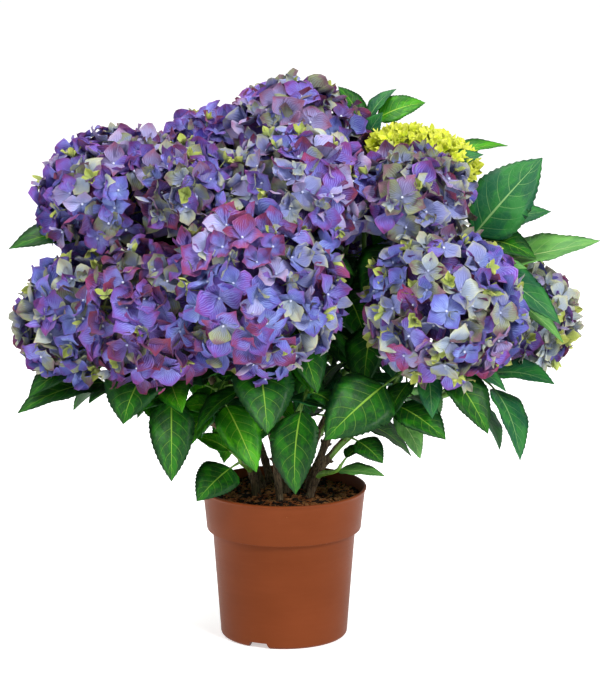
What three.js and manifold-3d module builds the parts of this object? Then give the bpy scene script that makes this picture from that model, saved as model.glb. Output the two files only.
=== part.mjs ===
// A mophead hydrangea in a plastic nursery pot.
// Millimetres, +Z up. The origin is the centre of the pot's underside and the front faces -Y.
// Woody canes stand on the soil, leafy green shoots rise from the canes, and most shoots end in
// one rounded head of four-petalled florets.
import * as THREE from "three";
import { mergeVertices } from "three/addons/utils/BufferGeometryUtils.js";
import Module from "manifold-3d";

const wasm = await Module();
wasm.setup();

// ---- driving sizes -------------------------------------------------------------------------

const CLEAR = 0.3; // gap between pieces that touch
const ROOM = 0.5; // free space that a leaf or floret needs on both of its sides
const SMALLER = [1, 0.82, 0.66]; // sizes tried for a leaf or floret that is short of room
const SWINGS = [0, 14, -14, 28, -28]; // turns tried, in degrees, for a leaf that is short of room

// pot
const POT_HEIGHT = 157;
const POT_SIDES = 32;
const RIM_R = 85;
const LIP_TOP_R = 83.4; // just under the rim's rounded bead
const LIP_LOW_R = 79.4;
const LIP_Z = 113; // lower edge of the lip band
const BODY_TOP_R = 73.4;
const BASE_R = 65.3;
const WALL = 1.7;
const CORNER = 4.5; // rounding where the wall turns under
const FOOT_Z = 6; // the floor's underside stands this far above the foot ring
const FOOT_RING = 5; // width of the flat foot ring
const FLOOR = 2;
const PAD_R = 22; // round pad under the middle of the floor, level with the foot ring
const NOTCHES = 3;
const NOTCH_TURN = -114; // compass angle of the first notch in the foot ring
const NOTCH_TOP = 18.5;
const NOTCH_LOW = 25;
const NOTCH_DEPTH = 20;

// soil
const SOIL_Z = 147;
const SOIL_FLAT_R = 62;
const SOIL_EDGE_Z = 144.5;

// green growth
const CANE_SIDES = 8;
const CANE_SHARES = [0, 0.12, 0.38, 0.68, 1]; // places of a cane's rings along its length
const CANE_FLARE = [1.3, 1.05, 1, 1, 1]; // a cane swells at its foot
const SHOOT_SHARES = [0, 0.25, 0.5, 0.75, 1];
const SHOOT_HANDLE = 0.36; // how far a shoot's bend reaches, as a share of its length
const STEM_SIDES = 5;
const SHOOT_FOOT_R = 3.3;
const SHOOT_TIP_R = 2.6;
const SPRAY_TIP_R = 1.6;
const PETIOLE_R = 1.6;
const PETIOLE_SHARE = 0.24; // of a leaf's whole reach
const LEAF_WIDTH = 0.6; // of the blade's length
const PAIR_WIDTH = 0.68;
const PAIR_SPAN = [0.22, 0.86]; // places of the lowest and the highest pair along a shoot
const LONE_PAIR = 0.55; // place of a pair that is alone, between those two
const PAIR_TURN = [-14, 14];
const PAIR_SLOPE = [-44, -6];
const PAIR_REACH = [0.88, 1.06];
const PAIR_ROLL = [-24, 24];
const LEAF_THICK = 1.8;
const SINGLE_SECTIONS = [[0.34, 1], [0.7, 0.76]]; // places along a blade, each with its share of the width
const PAIR_SECTIONS = [[0.42, 1]];
const LEAF_FOLD = 0.2; // how far the blade's edges lift, as a share of its half width
const LEAF_ARCH = 0.12; // how far a leaf bows above the line to its tip, as a share of its reach

// flower heads
const CORE = 0.62; // radius of the fused core, as a share of the head's
const STALK_ROOT = 0.5; // how deep the florets' stalks reach, as a share of the head's radius
const PEDUNCLE = 5; // bare stem between a shoot's tip and the core
const FLORET_R = 29;
const FLORET_AREA = 2600; // surface of the head that each floret has to itself
const YOUNG_FLORET_R = 16;
const YOUNG_FLORET_AREA = 950;
const FLORET_SIZE = [0.9, 1.08];
const FLORET_DEPTH = [0.93, 1]; // places of the florets, as shares of the head's radius
const FLORET_TILT = 0.5; // how far a floret may turn away from straight outwards
const EYE_DIP = 0.02; // how far a floret's middle is sunk, as a share of its reach
const NOTCH_SHARE = 0.56; // a floret's radius between two petals, as a share of its reach
const NOTCH_DIP = 0.14; // how far the outline dips between two petals, as a share of its reach
const HEAD_EDGE = -0.42; // cosine of the angle from the axis at which the florets end
const OWN_SPACE = 0.97; // a floret stays out of this share of every other head's ellipsoid

// ---- the plant's plan ----------------------------------------------------------------------

// Woody canes: foot on the soil, bend, tip, and the radius at the foot and the tip.
const CANES = {
  left: { foot: [-28, -6], bend: [-50, -12, 206], tip: [-102, -28, 244], r: [5.2, 4.0] },
  front: { foot: [-4, -28], bend: [-9, -38, 196], tip: [-16, -52, 240], r: [4.6, 3.6] },
  right: { foot: [26, -14], bend: [50, -24, 198], tip: [98, -32, 240], r: [5.0, 3.8] },
  middle: { foot: [2, 8], bend: [-2, 2, 222], tip: [-8, 4, 300], r: [5.6, 4.2] },
  high_left: { foot: [-22, 24], bend: [-50, 28, 215], tip: [-92, 26, 292], r: [5.2, 4.0] },
  high_right: { foot: [24, 18], bend: [50, 18, 215], tip: [80, 16, 292], r: [5.2, 4.0] },
  back_left: { foot: [-14, 48], bend: [-34, 66, 205], tip: [-70, 92, 262], r: [5.0, 3.8] },
  back_right: { foot: [18, 48], bend: [40, 70, 205], tip: [72, 96, 258], r: [5.0, 3.8] },
};

// A single leaf: where it leaves its shoot, as a share of the shoot's length, the compass angle
// and slope of the line to its tip, its reach to the tip, its width, and how far it is rolled
// round its midrib. Its left edge goes down where the roll is positive.
const leaf = (at, turn, slope, reach, width = LEAF_WIDTH, roll = 0) => {
  return { at, turn, slope, reach, width, roll };
};

// Leaves in pairs: how many pairs, the compass angle of the lowest pair and the leaves' reach.
const pairs = (count, turn, reach) => ({ count, turn, reach });

// A head's ellipsoid: centre, the way that its crown faces, radius across and flatness.
const head = (centre, axis, radius, flat, young = false) => ({ centre, axis, radius, flat, young });

// Green shoots: the cane and the share of its length that they leave it at, what they end in,
// their pairs of leaves, and the single leaves that hang out of the foliage.
const SHOOTS = {
  front: {
    cane: "front", at: 1, head: head([-26, -95, 380], [0, -0.42, 0.91], 90, 0.95),
    pairs: pairs(2, 5, 96),
    leaves: [leaf(0.7, -84, -31, 104, 0.7), leaf(0.16, -104, -48, 70, 0.5), leaf(0.42, -150, -26, 84)],
  },
  front_left: {
    cane: "left", at: 1, head: head([-139, -82, 342], [-0.25, -0.55, 0.8], 67, 0.95),
    pairs: pairs(1, 60, 84),
    leaves: [leaf(0.76, -62, -74, 112), leaf(0.62, -108, -20, 84, 0.66)],
  },
  low_left: {
    cane: "left", at: 0.86, head: head([-206, -28, 346], [-0.42, -0.25, 0.87], 69, 0.98),
    pairs: pairs(2, 80, 92),
    leaves: [leaf(0.65, -162, -9, 118)],
  },
  right_low: {
    cane: "right", at: 1, head: head([161, -70, 360], [0.2, -0.4, 0.89], 83, 0.98),
    pairs: pairs(2, 60, 96),
    leaves: [leaf(0.9, -23, -51, 98)],
  },
  far_right: {
    cane: "right", at: 0.84, head: head([246, 58, 320], [0.5, 0, 0.86], 57, 0.98),
    pairs: pairs(2, 75, 92),
    leaves: [leaf(0.56, -23, 8, 114), leaf(0.5, -38, -25, 114, 0.5)],
  },
  middle: {
    cane: "middle", at: 1, head: head([14, -28, 470], [0, -0.2, 0.98], 77, 0.85),
    pairs: pairs(3, 30, 98),
    leaves: [leaf(0.31, -69, -34, 112)],
  },
  top: {
    cane: "middle", at: 0.84, head: head([6, 90, 504], [0.05, 0.12, 0.99], 77, 0.88),
    pairs: pairs(3, 100, 98),
    leaves: [],
  },
  top_left: {
    cane: "high_left", at: 0.7, head: head([-75, 94, 483], [-0.1, 0.25, 0.96], 59, 0.9),
    pairs: pairs(3, 60, 90),
    leaves: [],
  },
  high_left: {
    cane: "high_left", at: 1, head: head([-180, 24, 462], [-0.25, -0.1, 0.96], 84, 0.78),
    pairs: pairs(3, 80, 96),
    leaves: [leaf(0.97, -168, -6, 124)],
  },
  middle_left: {
    cane: "high_left", at: 0.86, head: head([-100, -24, 474], [-0.1, -0.25, 0.96], 60, 0.75),
    pairs: pairs(2, 10, 88),
    leaves: [],
  },
  right_high: {
    cane: "high_right", at: 1, head: head([127, -20, 475], [0.15, -0.2, 0.96], 67, 0.87),
    pairs: pairs(3, 20, 92),
    leaves: [leaf(0.95, 177, -50, 96), leaf(0.92, -150, -46, 78), leaf(0.06, -79, -20, 78)],
  },
  lime: {
    cane: "back_right", at: 0.6, head: head([148, 64, 490], [0.25, 0.1, 0.96], 54, 0.62, true),
    pairs: pairs(3, 70, 92),
    leaves: [],
  },
  back_left: {
    cane: "back_left", at: 1, head: head([-146, 124, 384], [-0.4, 0.5, 0.77], 74, 0.92),
    pairs: pairs(3, 110, 104),
    leaves: [],
  },
  back: {
    cane: "back_right", at: 0.84, head: head([-16, 170, 388], [0, 0.5, 0.87], 76, 0.92),
    pairs: pairs(3, 60, 104),
    leaves: [],
  },
  back_right: {
    cane: "back_right", at: 1, head: head([112, 150, 396], [0.35, 0.45, 0.82], 76, 0.92),
    pairs: pairs(3, 35, 104),
    leaves: [],
  },
  far_left: {
    cane: "back_left", at: 0.84, head: head([-216, 66, 330], [-0.6, 0.3, 0.75], 54, 0.92),
    pairs: pairs(2, 80, 94),
    leaves: [],
  },
  peak: {
    cane: "high_right", at: 0.84, tip: [90, 98, 526], pairs: pairs(0, 0, 0),
    leaves: [
      leaf(0.98, -2, 15, 60, 0.8, 55), leaf(0.97, 24, 32, 54, 0.6, 40), leaf(0.96, 168, 50, 58),
      leaf(0.9, -62, 60, 52, 0.5, 0), leaf(0.8, 80, 4, 74),
    ],
  },
  fan: {
    cane: "high_right", at: 0.56, tip: [196, 34, 436], pairs: pairs(1, 100, 84),
    leaves: [
      leaf(0.94, 1, 42, 110, 0.66, 62), leaf(0.88, -16, 17, 94, 0.55, 34), leaf(0.8, 20, 4, 84, 0.6, 40),
      leaf(0.82, -8, 2, 140, 0.36, 16), leaf(0.74, -20, -2, 122, 0.42, 16), leaf(0.97, 56, 48, 92, 0.42, 30),
      leaf(0.66, -18, -17, 138, 0.42, 46), leaf(0.97, 100, 40, 60, 0.6),
    ],
  },
  foot_front: {
    cane: "front", at: 0.5, tip: [16, -58, 278], pairs: pairs(0, 0, 0),
    leaves: [leaf(0.97, -101, -70, 116, 0.6), leaf(0.55, -122, -56, 74, 0.5), leaf(0.7, 16, 8, 62)],
  },
  foot_right: {
    cane: "right", at: 0.36, tip: [126, -48, 286], pairs: pairs(0, 0, 0),
    leaves: [leaf(0.86, -135, -27, 121, 0.72, -20), leaf(0.68, -47, -30, 88), leaf(0.5, -27, -42, 76)],
  },
  tuft_right: {
    cane: "right", at: 0.22, tip: [58, -52, 192], pairs: pairs(0, 0, 0),
    leaves: [leaf(0.6, -14, -6, 74, 0.6, 30), leaf(0.96, -6, -20, 52, 0.5), leaf(0.97, -130, -24, 48)],
  },
  foot_left: {
    cane: "left", at: 0.5, tip: [-84, -44, 262], pairs: pairs(0, 0, 0),
    leaves: [leaf(0.45, -128, -6, 56), leaf(0.95, -60, -56, 62, 0.5), leaf(0.8, -20, -18, 48)],
  },
  tuft_left: {
    cane: "left", at: 0.2, tip: [-46, -36, 196], pairs: pairs(0, 0, 0),
    leaves: [leaf(0.96, -134, -40, 70, 0.66), leaf(0.94, 160, 24, 52)],
  },
  inner_right: { cane: "middle", at: 0.6, tip: [66, 44, 404], pairs: pairs(2, 70, 104), leaves: [] },
  inner_left: { cane: "high_left", at: 0.5, tip: [-104, 74, 386], pairs: pairs(2, 120, 104), leaves: [] },
  foot_back: { cane: "back_left", at: 0.5, tip: [-22, 118, 292], pairs: pairs(2, 60, 92), leaves: [] },
  foot_back_right: { cane: "back_right", at: 0.36, tip: [112, 96, 288], pairs: pairs(2, 20, 96), leaves: [] },
};

// ---- small tools ---------------------------------------------------------------------------

const UP = new THREE.Vector3(0, 0, 1);
const point = (xyz) => new THREE.Vector3(...xyz);
const radians = THREE.MathUtils.degToRad;
const mix = THREE.MathUtils.lerp;

// A repeatable stream of numbers from 0 to 1.
function seeded(seed) {
  let state = Math.imul(seed + 1, 2654435761) >>> 0;
  return () => {
    state = (Math.imul(state, 1664525) + 1013904223) >>> 0;
    return state / 4294967296;
  };
}

// A closed body from vertices and triangles that face outwards.
function solid(vertices, triangles) {
  return new wasm.Manifold(
    new wasm.Mesh({
      numProp: 3,
      vertProperties: new Float32Array(vertices.flatMap((v) => [v.x, v.y, v.z])),
      triVerts: new Uint32Array(triangles.flat()),
    }),
  );
}

// A closed body from a three.js geometry, with its shared vertices merged.
function solidFromGeometry(geometry) {
  const bare = geometry.clone();
  bare.deleteAttribute("normal");
  bare.deleteAttribute("uv");
  const merged = mergeVertices(bare, 1e-4);
  const index = merged.index.array;
  const vertices = [];
  const positions = merged.getAttribute("position");
  for (let i = 0; i < positions.count; i += 1) {
    vertices.push(new THREE.Vector3().fromBufferAttribute(positions, i));
  }
  const triangles = [];
  for (let i = 0; i < index.length; i += 3) {
    const [a, b, c] = index.slice(i, i + 3);
    if (a !== b && b !== c && c !== a) triangles.push([a, b, c]);
  }
  return solid(vertices, triangles);
}

function geometryFromSolid(body) {
  const mesh = body.getMesh();
  const geometry = new THREE.BufferGeometry();
  geometry.setAttribute("position", new THREE.BufferAttribute(mesh.vertProperties, 3));
  geometry.setIndex(new THREE.BufferAttribute(mesh.triVerts, 1));
  return geometry;
}

// All bodies as one. Loose scraps are dropped and a hollow that the joining seals is filled.
function fuse(bodies) {
  const joined = bodies.reduce((whole, body) => whole.add(body));
  return joined.decompose().sort((a, b) => b.volume() - a.volume())[0];
}

// Two unit vectors square to an axis, and to each other, as [across, onward].
function squareTo(axis) {
  const across = new THREE.Vector3(0.3, 1, 0.2).cross(axis).normalize();
  return [across, new THREE.Vector3().crossVectors(axis, across)];
}

// A closed tapering limb through points, with a radius at each and flat ends square to the
// directions "first" and "last".
function limb(points, radii, sides, first, last) {
  const vertices = [];
  const triangles = [];
  const end = points.length - 1;
  let across = null;
  points.forEach((centre, i) => {
    const along = points[Math.min(i + 1, end)].clone().sub(points[Math.max(i - 1, 0)]).normalize();
    if (i === 0 && first) along.copy(first);
    if (i === end && last) along.copy(last);
    across = across ?? squareTo(along)[0];
    across = across.clone().addScaledVector(along, -across.dot(along)).normalize();
    const onward = new THREE.Vector3().crossVectors(along, across);
    for (let k = 0; k < sides; k += 1) {
      const angle = (2 * Math.PI * k) / sides;
      vertices.push(
        centre
          .clone()
          .addScaledVector(across, radii[i] * Math.cos(angle))
          .addScaledVector(onward, radii[i] * Math.sin(angle)),
      );
    }
  });
  for (let i = 0; i < end; i += 1) {
    for (let k = 0; k < sides; k += 1) {
      const next = (k + 1) % sides;
      const low = i * sides;
      const high = low + sides;
      triangles.push([low + k, low + next, high + next], [low + k, high + next, high + k]);
    }
  }
  for (let k = 1; k < sides - 1; k += 1) {
    triangles.push([0, k + 1, k], [end * sides, end * sides + k, end * sides + k + 1]);
  }
  return solid(vertices, triangles);
}

// ---- pot and soil --------------------------------------------------------------------------

const potInside = [
  [LIP_TOP_R - WALL, POT_HEIGHT - 1.2],
  [LIP_LOW_R - WALL, LIP_Z + 3],
  [BODY_TOP_R - WALL, LIP_Z - 0.5],
  [BASE_R - WALL + 0.6, FOOT_Z + FLOOR + 4.5],
  [BASE_R - WALL - 3, FOOT_Z + FLOOR],
];

function lathe(profile) {
  const points = profile.map(([r, z]) => new THREE.Vector2(r, z));
  return solidFromGeometry(new THREE.LatheGeometry(points, POT_SIDES).rotateX(Math.PI / 2));
}

function notchCutter(turn) {
  const outline = new THREE.Shape([
    new THREE.Vector2(-NOTCH_LOW / 2, -1),
    new THREE.Vector2(NOTCH_LOW / 2, -1),
    new THREE.Vector2(NOTCH_TOP / 2, FOOT_Z),
    new THREE.Vector2(-NOTCH_TOP / 2, FOOT_Z),
  ]);
  const cutter = new THREE.ExtrudeGeometry(outline, { depth: NOTCH_DEPTH, bevelEnabled: false });
  cutter.rotateX(Math.PI / 2).translate(0, BASE_R + 8, 0).rotateZ(radians(turn - 90));
  return solidFromGeometry(cutter);
}

function potBody() {
  const corner = [];
  for (const angle of [-90, -50, -10]) {
    corner.push([
      BASE_R - CORNER + CORNER * Math.cos(radians(angle)),
      CORNER + CORNER * Math.sin(radians(angle)),
    ]);
  }
  const profile = [
    [0, 0],
    [PAD_R, 0],
    [PAD_R + 2, FOOT_Z],
    [BASE_R - CORNER - FOOT_RING, FOOT_Z],
    [BASE_R - CORNER - FOOT_RING + 2, 0],
    ...corner,
    [BODY_TOP_R, LIP_Z - 1.5],
    [LIP_LOW_R - 1, LIP_Z],
    [LIP_LOW_R, LIP_Z + 1.5],
    [LIP_TOP_R, POT_HEIGHT - 4],
    [RIM_R, POT_HEIGHT - 2.6],
    [RIM_R, POT_HEIGHT - 0.8],
    [RIM_R - 0.9, POT_HEIGHT],
    [LIP_TOP_R - WALL + 0.9, POT_HEIGHT],
    ...potInside,
    [0, FOOT_Z + FLOOR],
  ];
  let body = lathe(profile);
  for (let i = 0; i < NOTCHES; i += 1) {
    body = body.subtract(notchCutter(NOTCH_TURN + (i * 360) / NOTCHES));
  }
  return body;
}

function soilBody() {
  const [top, low] = potInside;
  const share = (SOIL_EDGE_Z - low[1]) / (top[1] - low[1]);
  const wall = potInside.slice(1).map(([r, z]) => [r - CLEAR - 0.1, z + CLEAR]);
  return lathe([
    [0, FOOT_Z + FLOOR + CLEAR],
    ...wall.reverse(),
    [mix(low[0], top[0], share) - CLEAR - 0.1, SOIL_EDGE_Z],
    [SOIL_FLAT_R, SOIL_Z],
    [0, SOIL_Z],
  ]);
}

// ---- canes and shoots ----------------------------------------------------------------------

// The centre line of a cane: a smooth bow from its foot through its bend to its tip.
function caneLine({ foot, bend, tip }) {
  const start = point([...foot, SOIL_Z + CLEAR]);
  const end = point(tip);
  const pull = point(bend).multiplyScalar(2).addScaledVector(start, -0.5).addScaledVector(end, -0.5);
  return new THREE.QuadraticBezierCurve3(start, pull, end);
}

function caneBody(cane, grow = 0) {
  const line = caneLine(cane);
  const points = CANE_SHARES.map((t) => line.getPoint(t));
  const radii = CANE_SHARES.map((t, i) => mix(cane.r[0], cane.r[1], t) * CANE_FLARE[i] + grow);
  return limb(points, radii, CANE_SIDES, UP, line.getTangent(1));
}

// Where a shoot ends: square under its head, or at the tip of a spray.
function shootEnd({ head: bloom, tip }) {
  if (!bloom) return point(tip);
  const axis = point(bloom.axis).normalize();
  const depth = bloom.radius * bloom.flat * CORE + PEDUNCLE + CLEAR;
  return point(bloom.centre).addScaledVector(axis, -depth);
}

// The centre line of a shoot. It starts on the cane's line and comes up square under its head.
function shootLine(shoot) {
  const cane = caneLine(CANES[shoot.cane]);
  const start = cane.getPoint(shoot.at);
  const onward = cane.getTangent(shoot.at);
  if (shoot.at === 1) start.addScaledVector(onward, CLEAR);
  const end = shootEnd(shoot);
  const chord = end.clone().sub(start);
  const handle = chord.length() * SHOOT_HANDLE;
  chord.normalize();
  const leave = onward.multiplyScalar(0.5).addScaledVector(chord, 0.8).normalize();
  const arrive = shoot.head ? point(shoot.head.axis).normalize() : chord.add(UP).normalize();
  return new THREE.CubicBezierCurve3(
    start,
    start.clone().addScaledVector(leave, handle),
    end.clone().addScaledVector(arrive, -handle),
    end,
  );
}

function stemBody(shoot) {
  const line = shootLine(shoot);
  const points = SHOOT_SHARES.map((t) => line.getPoint(t));
  const tipRadius = shoot.head ? SHOOT_TIP_R : SPRAY_TIP_R;
  const radii = SHOOT_SHARES.map((t) => mix(SHOOT_FOOT_R, tipRadius, t));
  const onward = caneLine(CANES[shoot.cane]).getTangent(shoot.at);
  const first = shoot.at === 1 ? onward : null;
  const last = shoot.head ? point(shoot.head.axis).normalize() : null;
  const stem = limb(points, radii, STEM_SIDES, first, last);
  if (shoot.at === 1) return stem;
  return fuse([stem.subtract(caneBody(CANES[shoot.cane], CLEAR))]);
}

// ---- leaves --------------------------------------------------------------------------------

// A closed leaf on its stalk. The stalk has three sides and its root lies at "root". The blade
// is folded along its midrib, is widest at the first of its "sections" and bows over to a point.
function leafBody(root, { turn, slope, reach, width, roll, sections }, grow = 0) {
  const compass = radians(turn);
  const pitch = radians(slope);
  const along = new THREE.Vector3(
    Math.cos(compass) * Math.cos(pitch),
    Math.sin(compass) * Math.cos(pitch),
    Math.sin(pitch),
  );
  const upper = UP.clone().addScaledVector(along, -along.z).normalize();
  upper.applyAxisAngle(along, -radians(roll));
  const right = new THREE.Vector3().crossVectors(along, upper);
  const half = (reach * (1 - PETIOLE_SHARE) * width) / 2;
  const at = (share) =>
    root
      .clone()
      .addScaledVector(along, reach * share)
      .addScaledVector(upper, 4 * LEAF_ARCH * reach * share * (1 - share));
  const vertices = [];
  const add = (base, side, lift) =>
    vertices.push(base.clone().addScaledVector(right, side).addScaledVector(upper, lift)) - 1;
  const ring = (base, r) =>
    [150, 30, -90].map((angle) => add(base, r * Math.cos(radians(angle)), r * Math.sin(radians(angle))));
  const [tl0, tr0, b0] = ring(root, PETIOLE_R + grow);
  const [tl1, tr1, b1] = ring(at(PETIOLE_SHARE), PETIOLE_R * 0.8 + grow);
  const rows = sections.map(([share, part]) => {
    const base = at(mix(PETIOLE_SHARE, 1, share));
    const edge = half * part + grow;
    const rib = LEAF_THICK / 2 + grow;
    const lift = edge * LEAF_FOLD;
    return [add(base, -edge, lift), add(base, 0, rib), add(base, edge, lift), add(base, 0, -rib)];
  });
  const tip = add(at(1 + grow / reach), 0, 0);
  const [l, m, r, n] = rows[0];
  const stalk = [
    [tl0, b0, tr0], [tl0, tr0, tr1], [tl0, tr1, tl1], [tr0, b0, b1],
    [tr0, b1, tr1], [b0, tl0, tl1], [b0, tl1, b1],
  ];
  const shoulder = [
    [tl1, tr1, m], [tl1, m, l], [tr1, r, m], [tl1, l, n],
    [tl1, n, b1], [r, tr1, b1], [r, b1, n],
  ];
  const triangles = [...stalk, ...shoulder];
  rows.slice(1).forEach(([l2, m2, r2, n2], i) => {
    const [l1, m1, r1, n1] = rows[i];
    triangles.push([l1, m1, m2], [l1, m2, l2], [m1, r1, r2], [m1, r2, m2]);
    triangles.push([l1, l2, n2], [l1, n2, n1], [n1, n2, r2], [n1, r2, r1]);
  });
  const [le, me, re, ne] = rows.at(-1);
  triangles.push([le, me, tip], [me, re, tip], [le, tip, ne], [ne, tip, re]);
  return solid(vertices, triangles);
}

// The leaves of a shoot: the single ones first, then the pairs, each a quarter turn on.
function leavesOf(shoot, random) {
  const all = shoot.leaves.map((single) => ({ ...single, sections: SINGLE_SECTIONS }));
  for (let i = 0; i < shoot.pairs.count; i += 1) {
    const share = mix(...PAIR_SPAN, shoot.pairs.count === 1 ? LONE_PAIR : i / (shoot.pairs.count - 1));
    for (const side of [0, 180]) {
      all.push({
        at: share,
        turn: shoot.pairs.turn + 90 * i + side + mix(...PAIR_TURN, random()),
        slope: mix(...PAIR_SLOPE, random()),
        reach: shoot.pairs.reach * mix(...PAIR_REACH, random()),
        width: PAIR_WIDTH,
        roll: mix(...PAIR_ROLL, random()),
        sections: PAIR_SECTIONS,
      });
    }
  }
  return all;
}

// ---- flower heads --------------------------------------------------------------------------

// A closed floret: four pointed petals round a slightly sunk middle, and a tapering stalk.
function floretBody(middle, facing, spin, reach, root, shift = 0) {
  const [across, onward] = squareTo(facing);
  const vertices = [];
  const add = (angle, r, lift) =>
    vertices.push(
      middle
        .clone()
        .addScaledVector(across, r * Math.cos(angle))
        .addScaledVector(onward, r * Math.sin(angle))
        .addScaledVector(facing, lift + shift),
    ) - 1;
  const centre = add(0, 0, -EYE_DIP * reach);
  const tips = [];
  const notches = [];
  for (let i = 0; i < 4; i += 1) {
    tips.push(add(spin + (i * Math.PI) / 2, reach, 0));
    notches.push(add(spin + ((i + 0.5) * Math.PI) / 2, reach * NOTCH_SHARE, -NOTCH_DIP * reach));
  }
  const stalk = vertices.push(root) - 1;
  const triangles = [];
  for (let i = 0; i < 4; i += 1) {
    const before = notches[(i + 3) % 4];
    triangles.push([centre, before, tips[i]], [centre, tips[i], notches[i]]);
    triangles.push([tips[i], before, notches[i]], [notches[i], before, stalk]);
  }
  return solid(vertices, triangles);
}

// How far out of a head's ellipsoid a place lies: 1 on its surface.
function level(bloom, place) {
  const axis = point(bloom.axis).normalize();
  const offset = place.clone().sub(point(bloom.centre));
  const height = offset.dot(axis);
  const across = offset.addScaledVector(axis, -height).length();
  return Math.hypot(height / (bloom.radius * bloom.flat), across / bloom.radius);
}

// The places of a head's florets, spread evenly over its ellipsoid from the crown to the edge.
function floretPlaces(bloom, random) {
  const axis = point(bloom.axis).normalize();
  const [across, onward] = squareTo(axis);
  const surface = 2 * Math.PI * bloom.radius ** 2 * (1 - HEAD_EDGE) * Math.sqrt(bloom.flat);
  const count = Math.round(surface / (bloom.young ? YOUNG_FLORET_AREA : FLORET_AREA));
  const places = [];
  for (let i = 0; i < count; i += 1) {
    const height = 1 - ((i + 0.5) / count) * (1 - HEAD_EDGE);
    const around = i * Math.PI * (3 - Math.sqrt(5)) + bloom.radius;
    const ring = Math.sqrt(1 - height * height);
    const outward = new THREE.Vector3()
      .addScaledVector(across, ring * Math.cos(around))
      .addScaledVector(onward, ring * Math.sin(around));
    const depth = bloom.radius * mix(...FLORET_DEPTH, random());
    const offset = outward.clone().multiplyScalar(depth).addScaledVector(axis, height * bloom.flat * depth);
    const facing = outward.addScaledVector(axis, height / bloom.flat).normalize();
    const tilt = new THREE.Vector3(random(), random(), random()).subScalar(0.5);
    facing.addScaledVector(tilt, FLORET_TILT).normalize();
    places.push({ offset, facing, spin: random() * Math.PI, size: mix(...FLORET_SIZE, random()) });
  }
  return places;
}

function coreBody(bloom) {
  const axis = point(bloom.axis).normalize();
  const ball = new THREE.IcosahedronGeometry(bloom.radius * CORE, 1).scale(1, 1, bloom.flat);
  const turn = new THREE.Quaternion().setFromUnitVectors(UP, axis);
  ball.applyQuaternion(turn).translate(...bloom.centre);
  const depth = bloom.radius * bloom.flat * CORE;
  const low = point(bloom.centre).addScaledVector(axis, -(depth + PEDUNCLE));
  const high = point(bloom.centre).addScaledVector(axis, -0.7 * depth);
  const neck = limb([low, high], [SHOOT_TIP_R, SHOOT_TIP_R * 1.6], STEM_SIDES, axis, axis);
  return solidFromGeometry(ball).add(neck);
}

// ---- growing the plant without one piece touching another -----------------------------------

const grown = new Map(); // node name to the closed bodies that are fused in it

function boxesMeet(a, b) {
  const p = a.boundingBox();
  const q = b.boundingBox();
  return [0, 1, 2].every((k) => p.min[k] <= q.max[k] && q.min[k] <= p.max[k]);
}

// Whether a body is clear of every piece of the other nodes.
function isClear(node, body) {
  for (const [name, bodies] of grown) {
    if (name === node) continue;
    for (const other of bodies) {
      if (boxesMeet(body, other) && !body.intersect(other).isEmpty()) return false;
    }
  }
  return true;
}

function growFlorets(name, bloom, random) {
  const rivals = Object.values(SHOOTS)
    .map((shoot) => shoot.head)
    .filter((other) => other && other !== bloom);
  const centre = point(bloom.centre);
  const reach = bloom.young ? YOUNG_FLORET_R : FLORET_R;
  for (const { offset, facing, spin, size } of floretPlaces(bloom, random)) {
    const middle = centre.clone().add(offset);
    if (rivals.some((other) => level(other, middle) < OWN_SPACE)) continue;
    const root = centre.clone().addScaledVector(offset, STALK_ROOT);
    for (const share of SMALLER) {
      const floret = (shift) => floretBody(middle, facing, spin, reach * size * share, root, shift);
      if ([-ROOM, ROOM].every((shift) => isClear(name, floret(shift)))) {
        grown.get(name).push(floret(0));
        break;
      }
    }
  }
}

function growLeaves(name, shoot, random) {
  const line = shootLine(shoot);
  for (const spec of leavesOf(shoot, random)) {
    const root = line.getPoint(spec.at);
    const tries = SMALLER.flatMap((share) =>
      SWINGS.map((swing) => ({ ...spec, reach: spec.reach * share, turn: spec.turn + swing })),
    );
    const fitting = tries.find((tried) => isClear(name, leafBody(root, tried, ROOM)));
    if (fitting) grown.get(name).push(leafBody(root, fitting));
  }
}

function growPlant() {
  grown.set("pot", [potBody()]);
  grown.set("soil", [soilBody()]);
  for (const [name, cane] of Object.entries(CANES)) grown.set(`cane_${name}`, [caneBody(cane)]);
  const shoots = Object.entries(SHOOTS);
  for (const [name, shoot] of shoots) grown.set(`shoot_${name}`, [stemBody(shoot)]);
  for (const [name, shoot] of shoots) {
    if (shoot.head) grown.set(`flowers_${name}`, [coreBody(shoot.head)]);
  }
  shoots.forEach(([name, shoot], i) => {
    if (shoot.head) growFlorets(`flowers_${name}`, shoot.head, seeded(i));
  });
  shoots.forEach(([name, shoot], i) => growLeaves(`shoot_${name}`, shoot, seeded(100 + i)));
}

// ---- the scene graph -----------------------------------------------------------------------

const LOOKS = {
  pot: { color: 0x96502f, roughness: 0.5, metalness: 0 },
  soil: { color: 0x2b1f14, roughness: 1, metalness: 0 },
  cane: { color: 0x7a6650, roughness: 0.85, metalness: 0 },
  shoot: { color: 0x2c6416, roughness: 0.45, metalness: 0 },
  flowers: { color: 0x7c70b4, roughness: 0.7, metalness: 0 },
  flowers_lime: { color: 0xb6c42c, roughness: 0.7, metalness: 0 },
};

growPlant();
const hydrangea = new THREE.Group();
hydrangea.name = "potted_hydrangea";
for (const [name, bodies] of grown) {
  const look = LOOKS[name] ?? LOOKS[name.split("_")[0]];
  const material = new THREE.MeshStandardMaterial(look);
  const mesh = new THREE.Mesh(geometryFromSolid(fuse(bodies)), material);
  mesh.name = name;
  hydrangea.add(mesh);
}

export default hydrangea;
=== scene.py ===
# A mophead hydrangea in its plastic nursery pot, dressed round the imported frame.
# Lengths are in millimetres until a piece is made, where they become metres.
import math

import bmesh
import bpy
import numpy as np
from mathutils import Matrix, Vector
from mathutils.bvhtree import BVHTree


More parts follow.
